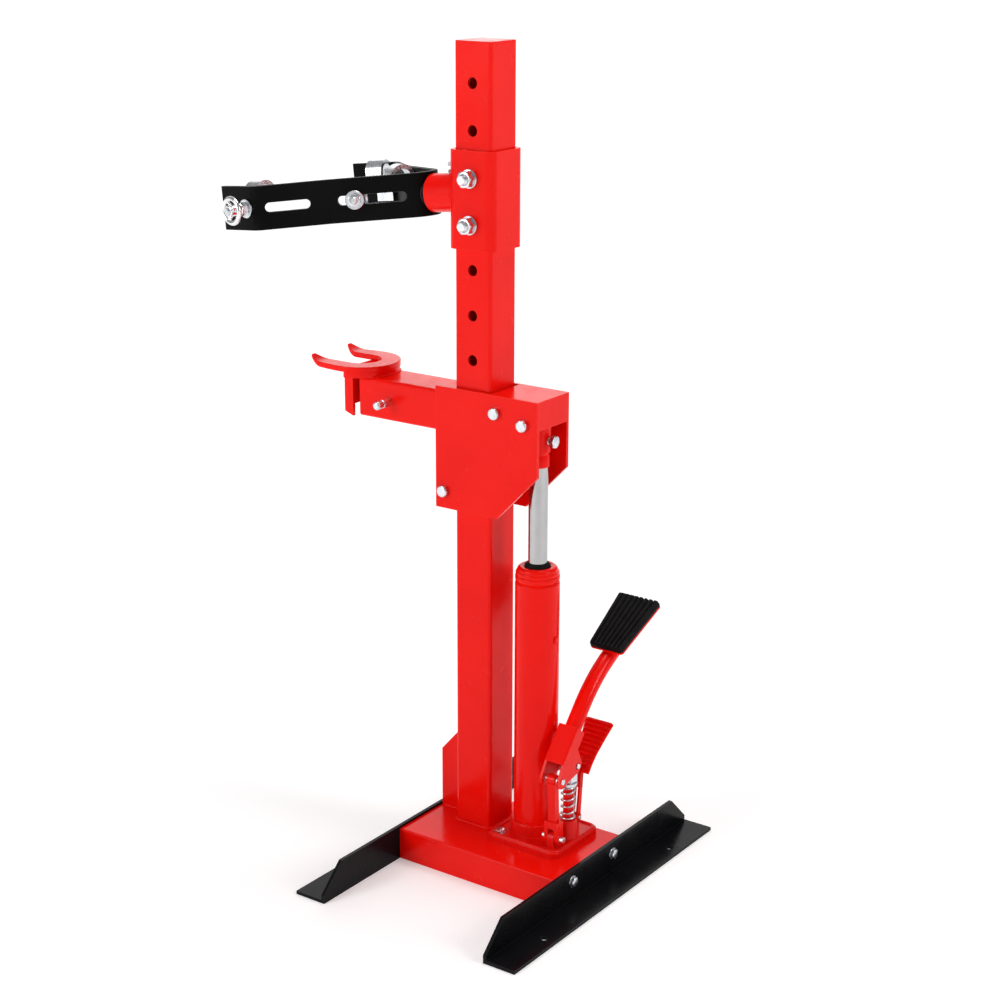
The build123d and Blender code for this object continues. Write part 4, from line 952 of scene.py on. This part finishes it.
def build_release_pedal():
    """Flared release pedal with cross ribs, on a forked stem."""
    along = Vector((0, math.cos(release_angle), math.sin(release_angle)))
    normal = Vector((0, -math.sin(release_angle), math.cos(release_angle)))
    pin = Vector(joints["release_pedal_press"]["pos_m"])
    foot = pin + Y * release_foot[0] + Z * release_foot[1]
    length = span("release_pedal", along)[1] - foot.dot(along)
    start = -6 * mm
    steps = 96
    corner = 4 * mm
    rib_height, rib_start, rib_run_out = 1.6 * mm, 4 * mm, 3 * mm
    bend_depth, bend_run = 3 * mm, 30 * mm
    bottom, ledge = -5 * mm, -2.4 * mm
    rows = []
    for i in range(steps + 1):
        v = start + (length - start) * i / steps
        half = release_low_half + release_flare * (max(v, 0) / length) ** 1.5
        top_corner = max(0.0, corner - (length - v))
        half -= corner - math.sqrt(corner ** 2 - top_corner ** 2)
        rib = 0
        if v > rib_start:
            rib = max(0.0, math.sin(TURN * (v - rib_start) / release_rib_pitch)) ** 0.6
        top = -rib_height + rib_height * rib * min(1, (length - v) / rib_run_out)
        bend = -bend_depth * (1 - min(1, max(v, 0) / bend_run)) ** 2
        inner, outer = half - 2.6 * mm, half - 1.4 * mm
        row = [(half, bottom), (-half, bottom), (-half, ledge), (-outer, -rib_height),
               (-inner, top), (inner, top), (outer, -rib_height), (half, ledge)]
        rows.append([foot + X * x + normal * (z + bend) + along * v for x, z in row])
    pedal = Shape()
    pedal.stack(rows)

    eye_bore, eye_radius, stem = 3.05 * mm, 6 * mm, 3.5 * mm
    left_stem, right_stem = -6.5 * mm, 3 * mm
    stem_top = offsets(0, 0, (11, 76), (3.5, 70))
    for offset in (left_stem, right_stem):
        eye = placed(pin + X * offset, X, Y)
        pedal.turned(eye, [(eye_bore, 0), (eye_radius, 0), (eye_radius, stem), (eye_bore, stem)],
                     looped=True)
        pedal.prism(eye, offsets(0, 0, (-4.2, 4), (4.2, 4)) + stem_top, stem)
    pedal.prism(placed(pin + X * left_stem, X, Y),
                offsets(0, 0, (0.6, 46), (8.2, 46)) + stem_top, -2 * left_stem)
    pedal.done("release_pedal_ribbed", red, "release_pedal", ["release_pedal"],
               bevel=0.5 * mm, smooth=38, segments=2)


def build_plunger_spring():
    """Return spring with closed ends, carried by the frame."""
    low, high = span("plunger_spring", Z)
    centre = Vector((middle("plunger", X), middle("plunger", Y), 0))
    radius = half_width("plunger_spring", X) - spring_wire
    steps_per_turn = 40
    closed_rise = 2 * spring_wire * 1.05
    start_angle = 0.6
    rise = high - low - 2 * spring_wire
    path = []
    for i in range(int(spring_turns * steps_per_turn) + 1):
        turn = i / steps_per_turn
        if turn < 1:
            height = closed_rise * turn
        elif turn > spring_turns - 1:
            height = rise - closed_rise * (spring_turns - turn)
        else:
            share = (turn - 1) / (spring_turns - 2)
            height = closed_rise + (rise - 2 * closed_rise) * share
        angle = TURN * turn + start_angle
        path.append(centre + Vector((radius * math.cos(angle), radius * math.sin(angle),
                                     low + spring_wire + height)))
    spring = Shape()
    spring.tube(path, spring_wire, steps=12)
    piece = spring.done("plunger_return_spring", zinc, "frame", ["plunger_spring"], smooth=60)
    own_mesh(piece)


# =================== jaw fittings ===================
def hook_frame(which, side):
    """Slide direction, outward direction and up of one hook."""
    axis_out = Vector(joints["jaw_swivel"]["axis"])
    up = Vector((axis_out.z, 0, -axis_out.x)).normalized()
    slide = Vector(joints[f"hook_{which}_{side}_slide"]["axis"])
    out = slide.cross(up).normalized()
    towards_front = -1 if side == "front" else 1
    return slide, (out if out.y * towards_front > 0 else -out), up


def build_hook_bolts():
    """Threaded studs of the four hooks, each with a washer and a nut outside the yoke."""
    for which, stem in (("inner", "hook_bolt_inner_"), ("outer", "hook_stud_outer_")):
        for side in ("front", "rear"):
            node = stem + side
            slide, out, up = hook_frame(which, side)
            low, high = span(node, out)
            foot = slide * middle(node, slide) + up * middle(node, up) + out * low
            seat = placed(foot + out * hook_washer_seat, out, up)
            nut_seat = placed(foot + out * (hook_washer_seat + washer_thickness), out, up)
            bolt = Shape()
            bolt.turned(placed(foot, out, up),
                        [(hook_bolt_radius, 0), (hook_bolt_radius, hook_washer_seat)], steps=40)
            add_washer(bolt, seat, washer_radius, hook_bolt_radius * 0.9, washer_thickness)
            add_nut(bolt, nut_seat, hook_nut_across, hook_nut_height, hook_bolt_radius * 0.94)
            add_thread(bolt, seat, hook_bolt_radius, high - low - hook_washer_seat,
                       hook_bolt_pitch)
            bolt.done(node + "_detail", zinc, f"hook_{which}_{side}", [node])


def build_wheel_nuts():
    """Ring hand wheels: coned hub, three spokes and a round rim."""
    bore = hook_bolt_radius + 0.05 * mm
    spokes = 3
    first_spoke = 0.5
    for side in ("front", "rear"):
        node = "wheel_nut_" + side
        _, out, up = hook_frame("outer", side)
        low, high = span(node, out)
        centre = Vector(joints[f"wheel_nut_{side}_turn"]["pos_m"])
        place = placed(centre + out * (low - centre.dot(out)), out, up)
        length = high - low
        rim_height = length - wheel_rim_drop
        nose = arc((6.6 * mm, length - 1.4 * mm), 1.2 * mm, 0, 90, 4)
        wheel = Shape()
        wheel.turned(place, [*offsets(bore, 0, (0, 0.5), (0.5, 0)),
                             *offsets(0, 0, (9.5, 0), (10, 0.8), (10, 2.6), (9, 4),
                                      (7.8, 9), (7.8, 14)), *nose,
                             *offsets(bore, length, (0.4, -0.2), (0, -0.8))],
                     steps=64, looped=True)
        circle = [place @ Vector((x, y, rim_height))
                  for x, y in arc((0, 0), wheel_rim_reach, 0, 355, 71)]
        wheel.tube(circle, wheel_rim_radius, steps=20, closed=True)
        spoke_line = offsets(0, rim_height, (6.4, -4), (9, -3), (12, -1.2))
        spoke_line.append((wheel_rim_reach, rim_height))
        for spoke in range(spokes):
            turn = TURN * spoke / spokes + first_spoke
            way = Vector((math.cos(turn), math.sin(turn), 0))
            path = [place @ (way * reach + Z * height) for reach, height in spoke_line]
            wheel.tube(path, wheel_spoke_radius, steps=14)
        wheel.done(node + "_detail", chrome, node, [node], smooth=50)


build_foot_fasteners()
build_sleeve_fasteners()
build_lock_screw()
build_pump_screws()
build_pump_pins()
build_reservoir()
build_ram_head()
build_carriage_pins()
build_cross_pin()
build_fork()
build_frame_welds()
build_carriage_welds()
build_pump_lip()
build_pad()
build_release_pedal()
build_plunger_spring()
build_hook_bolts()
build_wheel_nuts()


# =================== stage, light and camera ===================
def build_stage():
    """Plain pale floor that glows more the further it is from the object."""
    half = 700.0
    pale = (0.93, 0.93, 0.93, 1)
    glow_near, glow_far = 0.22, 0.85
    glow_start, glow_end = 1.2, 7.0
    corners = [(-half, -half, 0), (half, -half, 0), (half, half, 0), (-half, half, 0)]
    mesh = bpy.data.meshes.new("floor")
    mesh.from_pydata(corners, [], [(0, 1, 2, 3)])
    floor = bpy.data.objects.new("floor", mesh)
    bpy.context.scene.collection.objects.link(floor)
    material, tree, shader = new_material("floor")
    shader.inputs["Base Color"].default_value = pale
    shader.inputs["Roughness"].default_value = 0.9
    shader.inputs["Specular IOR Level"].default_value = 0.1
    shader.inputs["Emission Color"].default_value = (1, 1, 1, 1)
    coordinates = tree.nodes.new("ShaderNodeTexCoord")
    reach = tree.nodes.new("ShaderNodeVectorMath")
    reach.operation = "LENGTH"
    tree.links.new(coordinates.outputs["Object"], reach.inputs[0])
    glow = spread(tree, reach.outputs["Value"], glow_near, glow_far, glow_start, glow_end)
    tree.links.new(glow, shader.inputs["Emission Strength"])
    mesh.materials.append(material)


def add_softbox(name, place, target, size, power):
    """Rectangular area light that faces the target."""
    light = bpy.data.lights.new(name, "AREA")
    light.shape = "RECTANGLE"
    light.size, light.size_y = size
    light.energy = power
    holder = bpy.data.objects.new(name, light)
    bpy.context.scene.collection.objects.link(holder)
    holder.location = place
    holder.rotation_mode = "QUATERNION"
    holder.rotation_quaternion = (Vector(target) - Vector(place)).to_track_quat("-Z", "Y")


def build_light():
    """Soft studio light: a pale surround with a key, a fill, an overhead and a back box."""
    surround = 0.30
    world = bpy.data.worlds.new("studio")
    bpy.context.scene.world = world
    world.use_nodes = True
    background = world.node_tree.nodes["Background"]
    background.inputs["Color"].default_value = (1, 1, 1, 1)
    background.inputs["Strength"].default_value = surround
    add_softbox("key", (-1.6, -3.2, 2.0), (0, 0, 0.6), size=(1.4, 2.2), power=56)
    add_softbox("fill", (3.4, 0.6, 2.2), (0, 0, 0.9), size=(0.9, 1.6), power=42)
    add_softbox("overhead", (0.0, 0.6, 3.4), (0, 0, 0.5), size=(1.6, 1.6), power=40)
    add_softbox("backdrop", (-2.8, 3.9, 2.4), (0, 0, 0.8), size=(5.0, 2.6), power=50)
    bpy.context.scene.view_settings.view_transform = "Standard"


def build_camera():
    """Camera at eye height in front of the pedal side, looking down at the column."""
    azimuth = math.radians(35.37)
    elevation = math.radians(17.2)
    roll = math.radians(0.19)
    data = bpy.data.cameras.new("camera")
    data.sensor_width = 36.0
    data.lens = 72.19
    data.clip_end = 1000.0
    camera = bpy.data.objects.new("camera", data)
    bpy.context.scene.collection.objects.link(camera)
    camera.location = (1.5158, -2.1647, 1.3699)
    tilt = Matrix.Rotation(math.radians(90) - elevation, 4, "X")
    turn = Matrix.Rotation(azimuth, 4, "Z") @ tilt @ Matrix.Rotation(roll, 4, "Z")
    camera.rotation_mode = "QUATERNION"
    camera.rotation_quaternion = turn.to_quaternion()
    bpy.context.scene.camera = camera


build_stage()
build_light()
build_camera()
